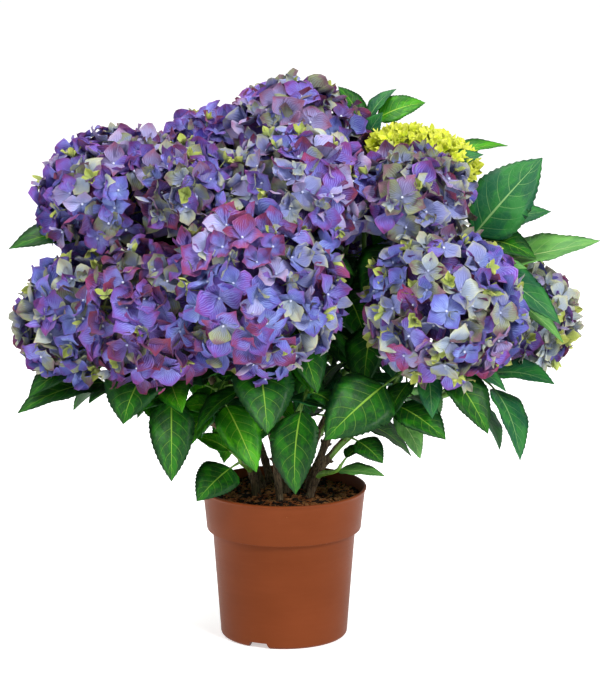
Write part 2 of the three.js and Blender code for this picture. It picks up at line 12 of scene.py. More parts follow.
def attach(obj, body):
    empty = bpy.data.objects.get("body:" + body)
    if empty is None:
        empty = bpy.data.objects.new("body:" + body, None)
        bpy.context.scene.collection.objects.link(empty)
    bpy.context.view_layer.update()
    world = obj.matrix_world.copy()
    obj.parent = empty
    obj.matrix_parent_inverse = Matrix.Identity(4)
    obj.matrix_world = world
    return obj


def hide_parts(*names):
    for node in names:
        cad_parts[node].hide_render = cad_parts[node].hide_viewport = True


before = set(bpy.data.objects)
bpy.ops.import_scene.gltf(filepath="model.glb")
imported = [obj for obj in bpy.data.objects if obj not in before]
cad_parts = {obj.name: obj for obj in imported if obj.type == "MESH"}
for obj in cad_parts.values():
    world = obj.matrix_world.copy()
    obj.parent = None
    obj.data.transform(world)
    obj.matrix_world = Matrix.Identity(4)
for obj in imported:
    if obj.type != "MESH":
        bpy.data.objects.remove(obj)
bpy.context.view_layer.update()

MM = 0.001
UV_MAP = "OFBake"

# ---- driving sizes --------------------------------------------------------------------------

CLEAR = 0.3  # gap between solids that touch
SMALLER = (1, 0.82, 0.66)  # sizes tried for a leaf that is short of room
SWINGS = (0, 14, -14, 28, -28)  # turns tried, in degrees, for a leaf that is short of room

# pot
POT_HEIGHT = 157
POT_SIDES = 128
RIM_R = 85
RIM_BEAD = 1.3
LIP_TOP_R = 83.4
LIP_LOW_R = 79.4
LIP_Z = 113
BODY_TOP_R = 73.4
BASE_R = 65.3
WALL = 1.7
CORNER = 4.5
FOOT_Z = 6
FOOT_RING = 5
FLOOR = 2
PAD_R = 22
NOTCHES = 3
NOTCH_TURN = -114
NOTCH_TOP = 18.5
NOTCH_LOW = 25
NOTCH_DEPTH = 20

# soil
SOIL_Z = 147
SOIL_R = 79.5
SOIL_RINGS = 26
SOIL_DOME = 1.8
FIBRES = 1300

# canes
CANE_SLIM = 0.82  # how much of a cane's radius is left between its knots
CANE_POINTS = 56
CANE_SIDES = 16
JOINT_STEP = 30
BUD_SIZE = (1.7, 1.7, 2.6)
CANE_ROOM = 6.5  # how near to a cane's middle line a leaf may come

# green growth
SHOOT_FOOT_R = 3.3
SHOOT_TIP_R = 2.6
SPRAY_TIP_R = 1.6
SHOOT_HANDLE = 0.36
SHOOT_ROOM = 4.5
PETIOLE_R = 1.6
PETIOLE_SHARE = 0.24
LEAF_WIDTH = 0.6
PAIR_WIDTH = 0.68
PAIR_SPAN = (0.22, 0.86)
LONE_PAIR = 0.55
PAIR_TURN = (-14, 14)
PAIR_SLOPE = (-44, -6)
PAIR_REACH = (0.88, 1.06)
PAIR_ROLL = (-24, 24)
FILL_SPAN = (0.12, 0.94)
FILL_TURN = (-20, 20)
FILL_SLOPE = (-22, 34)
FILL_REACH = (62, 92)
FILL_WIDTH = (0.56, 0.7)
LEAF_ARCH = 0.12
LEAF_THICK = 0.5
LEAF_BEND = (-0.08, 0.08)
LEAF_DROOP = 0.4
NAMED_DROOP = 0.16
DROOP_FROM = 0.6  # place along a leaf where its tip starts to droop
RIPPLES = 19
RIPPLE_HEIGHT = 0.014
SHOOT_POINTS = 22
SHOOT_SIDES = 10

# flower heads
CORE = 0.62
PEDUNCLE = 5
FLORET_R = 25
FLORET_AREA = 760  # surface of the head that each floret has to itself
YOUNG_FLORET_R = 13.5
YOUNG_FLORET_AREA = 150
COMMON_GAP_AREA = 3600  # surface of the head that has one young floret among the open ones
RAY_AREA = 4200
STALK_R = (2.6, 2.3, 2.0)
RAY_R = (1.6, 1.2, 0.9)
PEDICEL_R = (0.7, 0.6, 0.7)
EYE_R = 1.5
GOLDEN_TURN = math.pi * (3 - math.sqrt(5))
PROUD = 6  # how far the petals' tips may stand out of their head's ellipsoid
HEAD_EDGE = -0.7  # cosine of the angle from the axis at which the florets end
OWN_SPACE = 0.93
HEAD_ROOM = 0.93  # how far into a head a leaf that is not named may come
FLORET_SIZES = (0.76, 1.12)
PETAL_LENGTHS = (0.86, 1.08)
PETAL_WIDTHS = (0.86, 1.1)
PETAL_SWING = (-0.12, 0.12)
PETAL_TWIST = (-14, 14)


# ---- the plant's plan -----------------------------------------------------------------------


def cane(foot, bend, tip, r):
    """A woody cane: foot on the soil, bend, tip, and the radius at the foot and the tip."""
    return dict(foot=foot, bend=bend, tip=tip, r=r)


CANES = dict(
    left=cane((-28, -6), (-50, -12, 206), (-102, -28, 244), (5.2, 4.0)),
    front=cane((-4, -28), (-9, -38, 196), (-16, -52, 240), (4.6, 3.6)),
    right=cane((26, -14), (50, -24, 198), (98, -32, 240), (5.0, 3.8)),
    middle=cane((2, 8), (-2, 2, 222), (-8, 4, 300), (5.6, 4.2)),
    high_left=cane((-22, 24), (-50, 28, 215), (-92, 26, 292), (5.2, 4.0)),
    high_right=cane((24, 18), (50, 18, 215), (80, 16, 292), (5.2, 4.0)),
    back_left=cane((-14, 48), (-34, 66, 205), (-70, 92, 262), (5.0, 3.8)),
    back_right=cane((18, 48), (40, 70, 205), (72, 96, 258), (5.0, 3.8)),
)


def leaf(at, turn, slope, reach, width=LEAF_WIDTH, roll=0, look=None, arch=LEAF_ARCH):
    """A single leaf, from its place along the shoot to the way, slope and reach of its tip."""
    return dict(
        at=at, turn=turn, slope=slope, reach=reach, width=width, roll=roll, look=look, arch=arch
    )


def pairs(count, turn, reach):
    """Leaves in pairs, from the compass angle of the lowest pair and their reach."""
    return dict(count=count, turn=turn, reach=reach)


def head(centre, axis, radius, flat, young=False):
    """A head's ellipsoid: centre, the way that its crown faces, radius across and flatness."""
    return dict(centre=centre, axis=axis, radius=radius, flat=flat, young=young)


def shoot(on, at, ends, rows=None, *leaves):
    """A green shoot from a place along a cane, ending in a head or at the tip of a spray."""
    return dict(cane=on, at=at, ends=ends, pairs=rows, leaves=[leaf(*row) for row in leaves])


SHOOTS = dict(
    front=shoot(
        "front", 1, head((-30, -95, 382), (0, -0.42, 0.91), 94, 0.96), pairs(2, 5, 96),
        (0.9, -81, -39, 108, 0.78, 3, "deep"), (0.42, -150, -26, 84),
        (0.62, 178, -20, 84, 0.7, 0, "deep"),
    ),
    front_left=shoot(
        "left", 1, head((-132, -82, 354), (-0.25, -0.5, 0.83), 77, 0.98), pairs(1, 98, 84),
        (0.6, -90, -62, 110, 0.56, 5, "deep"), (0.97, -124, -36, 96, 1.06, -3, "deep"),
    ),
    low_left=shoot(
        "left", 0.86, head((-203, -28, 338), (-0.42, -0.25, 0.87), 70, 0.98), pairs(1, 150, 84),
        (0.64, -157, -9, 124, 0.5, 20, "deep"), (0.97, -150, -18, 92, 0.66, 14),
    ),
    right_low=shoot(
        "right", 1, head((161, -70, 360), (0.2, -0.4, 0.89), 83, 0.98), pairs(2, 60, 96),
        (0.95, -35, -48, 100, 0.62, -20, "deep"), (0.84, -84, -46, 66, 0.52, -8, "sea"),
        (0.66, -96, -34, 72, 0.6, -8, "deep"), (0.5, -124, -16, 64, 0.8, 0, "deep"),
    ),
    far_right=shoot(
        "right", 0.84, head((246, 58, 320), (0.5, 0, 0.86), 59, 0.98), pairs(1, 126, 84),
        (0.74, -42, 8, 107, 0.5, -20, "sea"), (0.8, -70, -31, 121, 0.42, 17, "sea"),
    ),
    middle=shoot(
        "middle", 1, head((14, -28, 470), (0, -0.2, 0.98), 77, 0.85), pairs(3, 30, 98),
        (0.26, -69, -30, 114, 0.56, -2, "deep"), (0.04, -52, -46, 86, 0.8, 0, "deep"),
    ),
    top=shoot("middle", 0.84, head((11, 88, 499), (0.05, 0.12, 0.99), 80, 0.87), pairs(3, 100, 98)),
    top_left=shoot(
        "high_left", 0.7, head((-75, 94, 483), (-0.1, 0.25, 0.96), 59, 0.9), pairs(3, 60, 90),
    ),
    high_left=shoot(
        "high_left", 1, head((-171, 20, 459), (-0.2, -0.1, 0.96), 83, 0.82), pairs(3, 80, 96),
        (0.97, -169, -2, 121, 0.62, 20, "deep"),
    ),
    middle_left=shoot(
        "high_left", 0.86, head((-100, -24, 472), (-0.1, -0.25, 0.96), 62, 0.78), pairs(2, 10, 88),
    ),
    right_high=shoot(
        "high_right", 1, head((130, -20, 464), (0.15, -0.2, 0.96), 62, 0.85), pairs(3, 20, 92),
        (0.98, -152, -51, 80, 0.76, 28, "deep"), (0.36, -104, -50, 91, 0.72, -17, "deep"),
    ),
    lime=shoot(
        "back_right", 0.6, head((141, 60, 489), (0.2, 0.1, 0.97), 57, 0.56, True), pairs(3, 70, 92),
        (0.98, 15, 23, 106, 0.5, -12, "vivid"), (0.98, -7, 27, 82, 0.5, -45, "sea"),
    ),
    back_left=shoot(
        "back_left", 1, head((-146, 124, 384), (-0.4, 0.5, 0.77), 74, 0.92), pairs(3, 110, 104),
    ),
    back=shoot(
        "back_right", 0.84, head((-16, 170, 388), (0, 0.5, 0.87), 76, 0.92), pairs(3, 60, 104),
    ),
    back_right=shoot(
        "back_right", 1, head((112, 150, 396), (0.35, 0.45, 0.82), 76, 0.92), pairs(3, 35, 104),
    ),
    far_left=shoot(
        "back_left", 0.84, head((-216, 66, 330), (-0.6, 0.3, 0.75), 54, 0.92), pairs(2, 50, 94),
    ),
    peak=shoot(
        "high_right", 0.84, (84, 96, 519), None, (0.98, -6, 24, 68, 0.66, -43, "vivid"),
        (0.97, 22, 52, 54, 0.6, -10, "sea"), (0.96, 170, 60, 56, 0.62, 41, "deep"),
        (0.9, -50, 58, 50, 0.66, -100, "sea"), (0.8, 80, 4, 74), (0.7, -150, 36, 46, 0.7, 40),
    ),
    fan=shoot(
        "high_right", 0.56, (196, 34, 436), pairs(1, 100, 84),
        (0.75, -10, 12, 159, 0.42, -26, "pale", 0.0), (0.81, -5, 49, 136, 0.64, -74, "sea"),
        (0.86, -24, 21, 98, 0.56, -30, "sea"), (0.8, -31, -21, 136, 0.38, -38, "sea"),
        (0.88, 4, -5, 80, 0.66, -30, "deep"), (0.76, -22, 9, 138, 0.34, -22, "pale", 0.02),
        (0.7, -17, -22, 142, 0.34, -20, "pale"), (0.97, 40, 30, 84, 0.5, -30, "deep"),
        (0.97, 100, 40, 60),
    ),
    foot_front=shoot(
        "front", 0.5, (25, -58, 278), None, (0.97, -104, -67, 110, 0.66, -14, "deep"),
        (0.9, -50, -10, 54, 0.7, -10), (0.6, -150, -30, 66, 0.66, 20, "deep"),
    ),
    foot_right=shoot(
        "right", 0.36, (118, -50, 290), None, (0.97, -139, -28, 111, 0.8, 42, "deep"),
        (0.72, -39, -21, 82, 0.72, -24, "deep"), (0.68, -16, -50, 68, 0.76, -20, "pale"),
        (0.3, -40, -26, 48, 0.9, -20, "deep"), (0.84, -84, -40, 62, 0.7, -6, "deep"),
    ),
    tuft_right=shoot(
        "right", 0.22, (58, -52, 192), None, (0.29, -27, 6, 70, 0.4, -22, "pale", 0.05),
        (0.97, 60, 20, 44),
    ),
    foot_left=shoot(
        "left", 0.5, (-68, -48, 272), None, (0.97, -58, -46, 100, 0.58, -17, "vivid"),
        (0.59, -137, 15, 54, 0.8, 40, "vivid"), (0.8, -126, -44, 60, 0.76, 10, "vivid"),
        (0.5, -30, -22, 64, 0.6, -30, "deep"), (0.9, 60, 22, 66, 0.8, 0, "deep"),
        (0.96, 156, -6, 62, 0.8, 0, "deep"),
    ),
    tuft_left=shoot(
        "left", 0.2, (-46, -36, 196), None, (0.8, -134, -26, 68, 0.88, 28, "deep"),
        (0.94, 160, 24, 52, 0.6, 30),
    ),
    inner_right=shoot(
        "middle", 0.6, (66, 44, 404), pairs(2, 70, 104), (0.97, -98, -36, 80, 0.74, -20, "deep"),
        (0.5, -94, -27, 108, 0.54, -20, "vivid"), (0.8, -60, -48, 82, 0.8, -10, "deep"),
    ),
    inner_left=shoot("high_left", 0.5, (-104, 74, 386), pairs(2, 120, 104)),
    foot_back=shoot(
        "back_left", 0.5, (-22, 118, 292), pairs(2, 60, 92), (0.6, -36, -8, 86, 0.8, 0, "deep"),
        (0.4, -130, -12, 80, 0.8, 0, "deep"),
    ),
    foot_back_right=shoot(
        "back_right", 0.36, (112, 96, 288), pairs(2, 20, 96), (0.3, -150, -12, 86, 0.8, 0, "deep"),
        (0.5, -80, -14, 80, 0.8, 0, "vivid"),
    ),
)


# ---- small tools ----------------------------------------------------------------------------

UP = np.array([0.0, 0.0, 1.0])


def vec(xyz):
    return np.array(xyz, float)


def unit(v):
    return v / np.linalg.norm(v, axis=-1, keepdims=True)


def mix(a, b, t):
    return a + (b - a) * t


def square_to(axis):
    """Two unit vectors square to an axis, and to each other."""
    across = unit(np.cross([0.3, 1, 0.2], axis))
    return across, np.cross(axis, across)


def turned(v, axis, angle):
    """A vector turned about a unit axis."""
    return (
        v * math.cos(angle)
        + np.cross(axis, v) * math.sin(angle)
        + axis * (v @ axis) * (1 - math.cos(angle))
    )


def seeded(seed):
    """A repeatable stream of numbers from 0 to 1."""
    state = ((seed + 1) * 2654435761) & 0xFFFFFFFF

    def draw():
        nonlocal state
        state = (state * 1664525 + 1013904223) & 0xFFFFFFFF
        return state / 2**32

    return draw


class Shape:
    """A small form that is modelled once and copied many times."""

    def __init__(self, verts, faces, uv):
        self.verts, self.faces, self.uv = verts, faces, uv


class Heap:
    """Many small parts gathered into one mesh."""

    def __init__(self):
        self.verts, self.batches, self.count = [], [], 0

    def add(self, verts, *batches):
        """Adds vertices with batches of faces on them, each (faces, their map, material)."""
        for faces, uv, slot in batches:
            self.batches.append((np.asarray(faces) + self.count, np.asarray(uv), slot))
        self.verts.append(verts)
        self.count += len(verts)

    def stamp(self, shape, turns, places, kinds=None):
        """One copy of a shape for each 3x3 turn and place, with the quarter of its map it takes."""
        verts = np.einsum("nij,vj->nvi", np.array(turns), shape.verts) + np.array(places)[:, None]
        steps = np.arange(len(places)) * len(shape.verts)
        faces = (shape.faces[None] + steps[:, None, None]).reshape(-1, shape.faces.shape[1])
        uv = np.tile(shape.uv, (len(places), 1, 1, 1))
        if kinds is not None:
            corner = np.array([(kind % 2, kind // 2) for kind in kinds])[:, None, None]
            uv = (uv * 0.96 + 0.02 + corner) / 2
        self.add(verts.reshape(-1, 3), (faces, uv.reshape(-1, *shape.uv.shape[1:]), 0))

    def mesh(self, name):
        def of_all(rule, kind=np.int32):
            return np.concatenate([rule(*batch).ravel() for batch in self.batches]).astype(kind)

        mesh = bpy.data.meshes.new(name)
        sizes = of_all(lambda faces, uv, slot: np.full(len(faces), faces.shape[1]))
        mesh.vertices.add(self.count)
        mesh.vertices.foreach_set("co", (np.concatenate(self.verts) * MM).ravel())
        mesh.loops.add(int(sizes.sum()))
        mesh.loops.foreach_set("vertex_index", of_all(lambda faces, uv, slot: faces))
        mesh.polygons.add(len(sizes))
        mesh.polygons.foreach_set("loop_start", (np.cumsum(sizes) - sizes).astype(np.int32))
        slots = of_all(lambda faces, uv, slot: np.full(len(faces), slot))
        mesh.polygons.foreach_set("material_index", slots)
        mesh.update(calc_edges=True)
        uv = of_all(lambda faces, uv, slot: uv, np.float32)
        mesh.uv_layers.new(name=UV_MAP).uv.foreach_set("vector", uv)
        mesh.shade_smooth()
        mesh.validate()
        return mesh


def put_in(piece, looks, slot, nodes):
    """Gives a piece its materials and its body, and hides the CAD nodes that it stands for.
    The slot is not used.
    """
    piece.data.materials.clear()
    for look in looks:
        piece.data.materials.append(look)
    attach(piece, "root")
    if nodes:
        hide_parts(*nodes)
    return piece


def new_piece(name, heap, looks, slot, nodes=()):
    piece = bpy.data.objects.new(name, heap.mesh(name))
    bpy.context.collection.objects.link(piece)
    return put_in(piece, looks, slot, nodes)


def nodes_like(start):
    return [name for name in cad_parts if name.startswith(start)]


def tube(heap, points, radii, sides):
    """A closed tapering tube through points, with its pattern's U round it and V along it."""
    points = np.asarray(points, float)
    ways = unit(np.gradient(points, axis=0))
    across = square_to(ways[0])[0]
    side, step = np.arange(sides), np.arange(len(points) - 1)[:, None]
    angles = side * 2 * math.pi / sides
    rings = []
    for point, way, radius in zip(points, ways, radii):
        across = unit(across - way * (across @ way))
        onward = np.cross(way, across)
        circle = np.outer(np.cos(angles), across) + np.outer(np.sin(angles), onward)
        rings.append(point + circle * radius)
    here, following = step * sides + side, step * sides + (side + 1) % sides
    faces = np.stack([here, following, following + sides, here + sides], 2)
    left, right = side / sides, (side + 1) / sides
    low, high = step / len(step), (step + 1) / len(step)
    u, v = np.stack([left, right, right, left], 1), np.stack([low, low, high, high], 2)
    uv = np.stack(np.broadcast_arrays(u, v), 3)
    round_map = 0.5 + 0.02 * np.stack([np.cos(angles), np.sin(angles)], 1)
    heap.add(
        np.concatenate(rings),
        (faces.reshape(-1, 4), uv.reshape(-1, 4, 2), 0),
        (np.stack([side[::-1], side + len(step) * sides]), np.stack([round_map] * 2), 0),
    )


# ---- materials ------------------------------------------------------------------------------


def linear(colour):
    """A colour of three screen values from 0 to 255 as a linear one. Others are left alone."""
    if not isinstance(colour, tuple) or len(colour) != 3:
        return colour
    part = [x / 255 for x in colour]
    return tuple(x / 12.92 if x <= 0.04045 else ((x + 0.055) / 1.055) ** 2.4 for x in part) + (1,)


def toward(colour, other, share):
    """A colour moved by a share of the way towards another."""
    return tuple(mix(a, b, share) for a, b in zip(colour, other))


class Value:
    """What a node of a material gives out. It is added and multiplied as a number is."""

    def __init__(self, look, socket):
        self.look, self.socket = look, socket

    def __add__(self, other):
        return self.look.math("ADD", self, other)

    def __sub__(self, other):
        return self.look.math("SUBTRACT", self, other)

    def __mul__(self, other):
        return self.look.math("MULTIPLY", self, other)


class Look:
    """A material under construction: short calls add and join its nodes."""

    def __init__(self, name, roughness=0.5, specular=0.5, sheen=0.0):
        self.material = bpy.data.materials.new(name)
        self.material.use_nodes = True
        self.tree = self.material.node_tree
        self.surface = self.tree.nodes["Principled BSDF"].inputs
        self.surface["Roughness"].default_value = roughness
        self.surface["Specular IOR Level"].default_value = specular
        self.surface["Sheen Weight"].default_value = sheen

    def join(self, source, target):
        if isinstance(source, Value):
            self.tree.links.new(source.socket, target)
        else:
            target.default_value = source

    def node(self, kind, sources=(), gives=0, **settings):
        """A new node with its settings and the sources of its inputs: what it gives out."""
        node = self.tree.nodes.new(kind)
        for name, value in settings.items():
            setattr(node, name, value)
        for name, source in dict(sources).items():
            self.join(source, node.inputs[name])
        return Value(self, node.outputs[gives])

    def math(self, operation, *sources):
        return self.node("ShaderNodeMath", enumerate(sources), operation=operation)

    def smooth(self, value, low, high, to_low=0.0, to_high=1.0):
        """Runs smoothly from to_low to to_high as a value runs from low to high."""
        sources = enumerate((value, low, high, to_low, to_high))
        return self.node("ShaderNodeMapRange", sources, interpolation_type="SMOOTHSTEP")

    def blend(self, share, a, b, way="MIX"):
        sources = {0: share, 6: linear(a), 7: linear(b)}
        return self.node("ShaderNodeMix", sources, 2, data_type="RGBA", blend_type=way)

    def ramp(self, value, *stops):
        """A run of colours, each (place, colour)."""
        found = self.node("ShaderNodeValToRGB", {0: value})
        elements = found.socket.node.color_ramp.elements
        while len(elements) < len(stops):
            elements.new(1)
        for element, (place, colour) in zip(elements, stops):
            element.position, element.color = place, linear(colour)
        return found

    def map(self):
        return self.node("ShaderNodeUVMap", uv_map=UV_MAP)

    def place(self, scale=(1, 1, 1), shift=(0, 0, 0), on_map=False):
        """Object coordinates, or the piece's own map, stretched and moved."""
        source = self.map() if on_map else self.node("ShaderNodeTexCoord", gives="Object")
        return self.node("ShaderNodeMapping", dict(Vector=source, Scale=scale, Location=shift))

    def parts(self, place):
        """The three numbers of a place."""
        first = self.node("ShaderNodeSeparateXYZ", {0: place})
        return [Value(self, socket) for socket in first.socket.node.outputs]

    def noise(self, place, scale, detail=4.0, roughness=0.55, distortion=0.0):
        sources = dict(Vector=place, Scale=scale, Detail=detail)
        sources.update(Roughness=roughness, Distortion=distortion)
        return self.node("ShaderNodeTexNoise", sources)

    def cells(self, place, scale, feature="F1"):
        sources = dict(Vector=place, Scale=scale)
        return self.node("ShaderNodeTexVoronoi", sources, "Distance", feature=feature)

    def along_and_across(self, left, width):
        """A part of the map as a place along a blade, and a place across it from -1 to 1."""
        across, along, _ = self.parts(self.map())
        return along, (across - (left + width / 2)) * (2 / width)

    def quarter(self):
        """A quartered map as its place along a petal, across it, and the quarter from 0 to 3."""
        across, along = (part * 2 for part in self.parts(self.map())[:2])
        column, row = self.math("FLOOR", across), self.math("FLOOR", along)
        return along - row, (across - column) * 2 - 1, row * 2 + column

    def relief(self, height, strength, distance):
        sources = dict(Height=height, Strength=strength, Distance=distance * MM)
        self.join(self.node("ShaderNodeBump", sources), self.surface["Normal"])

    def done(self, colour):
        self.join(linear(colour), self.surface["Base Color"])
        return self.material


WHITE, OFF_WHITE = (255, 255, 255), (235, 235, 235)


def petal_look(name, eye, middle, edge, tip, vein, seed, tint=0.78, darkest_painted_shade=0.7):
    """A petal: an eye colour that runs to the middle, tinted edges and tip, and fanned veins.

    The tint starts at a lower share of the petal's length where "tint" is smaller. The four
    quarters of the map are four petals of the same kind, with more or less tint, and with
    painted shade that darkens some of them as if the petals over them shaded them."""
    look = Look(name, specular=0.3, sheen=0.08)
    along, across, kind = look.quarter()
    off = look.math("ABSOLUTE", across)
    cloud = look.noise(look.place((3.8, 4.2, 1), (seed, seed * 0.7, 0), True), 1.7, 3)
    chance = look.math("FRACT", kind * 0.618 + seed * 0.37)
    place = along + cloud * 0.9 + chance * 0.34 - 0.62
    ground = look.ramp(place, (0, toward(eye, WHITE, 0.15)), (0.2, eye), (0.6, middle))
    waver = look.noise(look.place((4, 6, 1), (seed, 0, 0), True), 2, 2)
    fan = across * 5.8 + waver * 1.4
    thread, fine = look.math("PINGPONG", fan, 0.5), look.math("PINGPONG", fan * 2.3, 0.5)
    place = place - (thread + fine) * 0.34 + 0.17
    rim = look.math("POWER", off, 2.2) * 0.38 + place
    colour = look.blend(look.smooth(rim, tint - 0.2, tint + 0.24), ground, edge)
    colour = look.blend(look.smooth(place, tint, tint + 0.24), colour, tip)
    thin = look.smooth(thread, 0, 0.2, 1, 0)
    thin = look.math("MAXIMUM", thin, look.smooth(fine, 0, 0.3, 0.4, 0))
    colour = look.blend(thin * look.smooth(along, 0.06, 1, 0.86, 0.5), colour, vein)
    bright = look.smooth(thread, 0.26, 0.5, 0, 0.36) * look.smooth(along, 0.2, 1, 1, 0.4)
    colour = look.blend(bright, colour, toward(eye, OFF_WHITE, 0.5))
    # Pale rim along the edge: partly the petal's own pale edge, partly a painted highlight on the
    # rim.
    pale_rim_and_highlight = look.smooth(off, 0.88, 0.99, 0, 0.42)
    colour = look.blend(pale_rim_and_highlight, colour, toward(edge, OFF_WHITE, 0.4))
    # Painted shade: each quarter is darkened by a share of its own, as if shaded by petals over it.
    painted_shade_draw = look.math("FRACT", kind * 0.382 + seed * 0.61)
    shade = look.ramp(painted_shade_draw, (0, (darkest_painted_shade, darkest_painted_shade, darkest_painted_shade + 0.05, 1)), (1, (1, 1, 1, 1)))
    look.relief(cloud * 1.2 - thin, 0.6, 0.8)
    return look.done(look.blend(1, colour, shade, "MULTIPLY"))


PETALS = dict(  # colours of eye, middle, edge, tip and vein, seed, start of the tint, darkest painted shade
    violet=(
        (138, 144, 228), (118, 94, 198), (132, 70, 172), (138, 44, 124), (78, 56, 158),
        1, 0.74, 0.62,
    ),
    flushed=(
        (134, 142, 226), (122, 98, 196), (134, 56, 136), (152, 36, 86), (82, 54, 140),
        11, 0.6, 0.64,
    ),
    blue=(
        (150, 172, 236), (108, 116, 210), (116, 94, 194), (132, 72, 160), (74, 80, 170),
        2, 0.84, 0.66,
    ),
    magenta=(
        (128, 114, 206), (128, 72, 164), (144, 48, 120), (158, 36, 82), (88, 42, 118),
        3, 0.62, 0.64,
    ),
    crimson=(
        (100, 80, 168), (98, 44, 124), (112, 32, 84), (140, 32, 66), (60, 24, 80),
        4, 0.66, 0.64,
    ),
    lilac=(
        (168, 176, 232), (180, 168, 218), (200, 180, 210), (186, 122, 170), (138, 124, 188),
        5,
    ),
    mauve=(
        (144, 140, 196), (140, 118, 168), (150, 98, 140), (148, 72, 106), (100, 78, 130),
        6, 0.66,
    ),
    rimmed=(
        (140, 152, 216), (144, 146, 200), (194, 198, 168), (210, 214, 168), (104, 106, 166),
        12, 0.76,
    ),
    cream=(
        (160, 178, 210), (190, 198, 190), (218, 222, 168), (208, 184, 170), (152, 164, 152),
        7, 0.74,
    ),
    sage=(
        (132, 142, 188), (136, 144, 142), (156, 166, 98), (140, 96, 108), (100, 108, 112),
        8, 0.64,
    ),
    young=(
        (174, 194, 104), (184, 200, 84), (212, 218, 108), (206, 212, 94), (160, 178, 76),
        9, 0.78, 0.86,
    ),
    lime=(
        (204, 226, 24), (238, 248, 36), (254, 255, 112), (250, 252, 70), (204, 222, 24),
        10, 0.78, 0.94,
    ),
)
PETAL_LOOKS = {kind: petal_look(f"petal_{kind}", *row) for kind, row in PETALS.items()}


def leaf_looks(name, dark, bright, vein, under, seed):
    """A leaf's upper side, with branching pale veins and blotches, and its duller underside."""
    looks = []
    for side, left, roughness, specular, swell in (
        ("upper", 0, 0.48, 0.22, 0.45), ("under", 0.5, 0.62, 0.16, 0.3),
    ):
        look = Look(f"{name}_{side}", roughness, specular)
        along, across = look.along_and_across(left, 0.5)
        off = look.math("ABSOLUTE", across)
        # Side veins leave the midrib at a slant and curve towards the tip.
        rise = off * 0.17 + look.math("POWER", off, 2.4) * 0.14
        stagger = look.math("GREATER_THAN", across, 0) * 0.035
        line = look.math("PINGPONG", (along - rise + stagger) * 7.2, 0.5)
        side_vein = look.smooth(line, 0, look.smooth(off, 0, 1, 0.052, 0.024), 1, 0)
        side_vein = side_vein * look.smooth(off, 0.5, 0.95, 1, 0.05)
        rib_width = look.smooth(along, 0, 1, 0.05, 0.014)
        midrib = look.smooth(off, rib_width * 0.5, rib_width, 1, 0)
        net_place = look.place((20, 16, 1), (seed, seed, 0), True)
        net = look.smooth(look.cells(net_place, 1, "DISTANCE_TO_EDGE"), 0, 0.09, 1, 0)
        veins = look.math("MAXIMUM", midrib, side_vein * 0.5)
        veins = look.math("MAXIMUM", veins, net * 0.05)
        cloud = look.noise(look.place((5, 2.6, 1), (seed * 1.7, seed, 0), True), 1.3, 3)
        if side == "upper":
            blotch = look.smooth(cloud, 0.44, 0.62) + look.smooth(off, 0, 0.55, 0.35, 0)
            colour = look.blend(veins, look.blend(blotch, dark, bright), vein)
        else:
            ground = look.blend(cloud, under, toward(under, dark, 0.22))
            colour = look.blend(veins * 0.8, ground, vein)
        look.relief(look.smooth(line, 0, 0.5) * 0.5 - veins - net * 0.25, swell, 0.7)
        looks.append(look.done(colour))
    return looks


LEAF_LOOKS = dict(
    deep=leaf_looks("leaf_deep", (10, 60, 18), (28, 98, 10), (128, 172, 56), (88, 130, 64), 1),
    vivid=leaf_looks("leaf_vivid", (26, 98, 8), (60, 140, 6), (150, 188, 64), (104, 146, 72), 2),
    sea=leaf_looks("leaf_sea", (24, 84, 52), (40, 112, 48), (128, 170, 104), (108, 148, 98), 3),
    pale=leaf_looks("leaf_pale", (76, 132, 66), (98, 158, 72), (166, 196, 122), (124, 160, 104), 4),
)


def stem_look():
    look = Look("green_stem", 0.45)
    streak = look.noise(look.place((260, 260, 30)), 1, 3)
    ground = look.ramp(streak, (0.3, (66, 104, 30)), (0.55, (98, 142, 48)), (0.8, (126, 160, 74)))
    freckle = look.smooth(look.cells(look.place(), 420), 0, 0.32, 0.5, 0)
    look.relief(streak, 0.3, 0.4)
    return look.done(look.blend(freckle, ground, (74, 62, 40)))


def stalk_look():
    look = Look("flower_stalk")
    streak = look.noise(look.place((300, 300, 60)), 1, 2)
    look.relief(streak, 0.25, 0.3)
    tones = (0.25, (112, 132, 58)), (0.5, (146, 160, 84)), (0.8, (128, 96, 110))
    return look.done(look.ramp(streak, *tones))


def bark_look():
    look = Look("cane_bark", 0.86, 0.25)
    grain = look.noise(look.place((300, 300, 26)), 1, 6, 0.65, 0.6)
    patch = look.noise(look.place((40, 40, 22)), 1, 4)
    ground = look.ramp(
        grain, (0.28, (40, 31, 22)), (0.48, (88, 73, 54)), (0.64, (122, 106, 82)),
        (0.85, (156, 142, 116)),
    )
    green = look.blend(look.smooth(patch, 0.5, 0.68, 0, 0.45), ground, (62, 70, 34))
    fissure = look.smooth(look.cells(look.place((520, 520, 60)), 1, "DISTANCE_TO_EDGE"), 0, 0.1)
    look.relief(fissure * 0.5 + grain, 0.8, 1.0)
    return look.done(look.blend(fissure, (38, 29, 20), green))


def bead_look():
    look = Look("floret_bud", 0.4)
    tone = look.noise(look.place(), 60, 2)
    return look.done(look.ramp(tone, (0.3, (176, 186, 226)), (0.7, (228, 232, 240))))


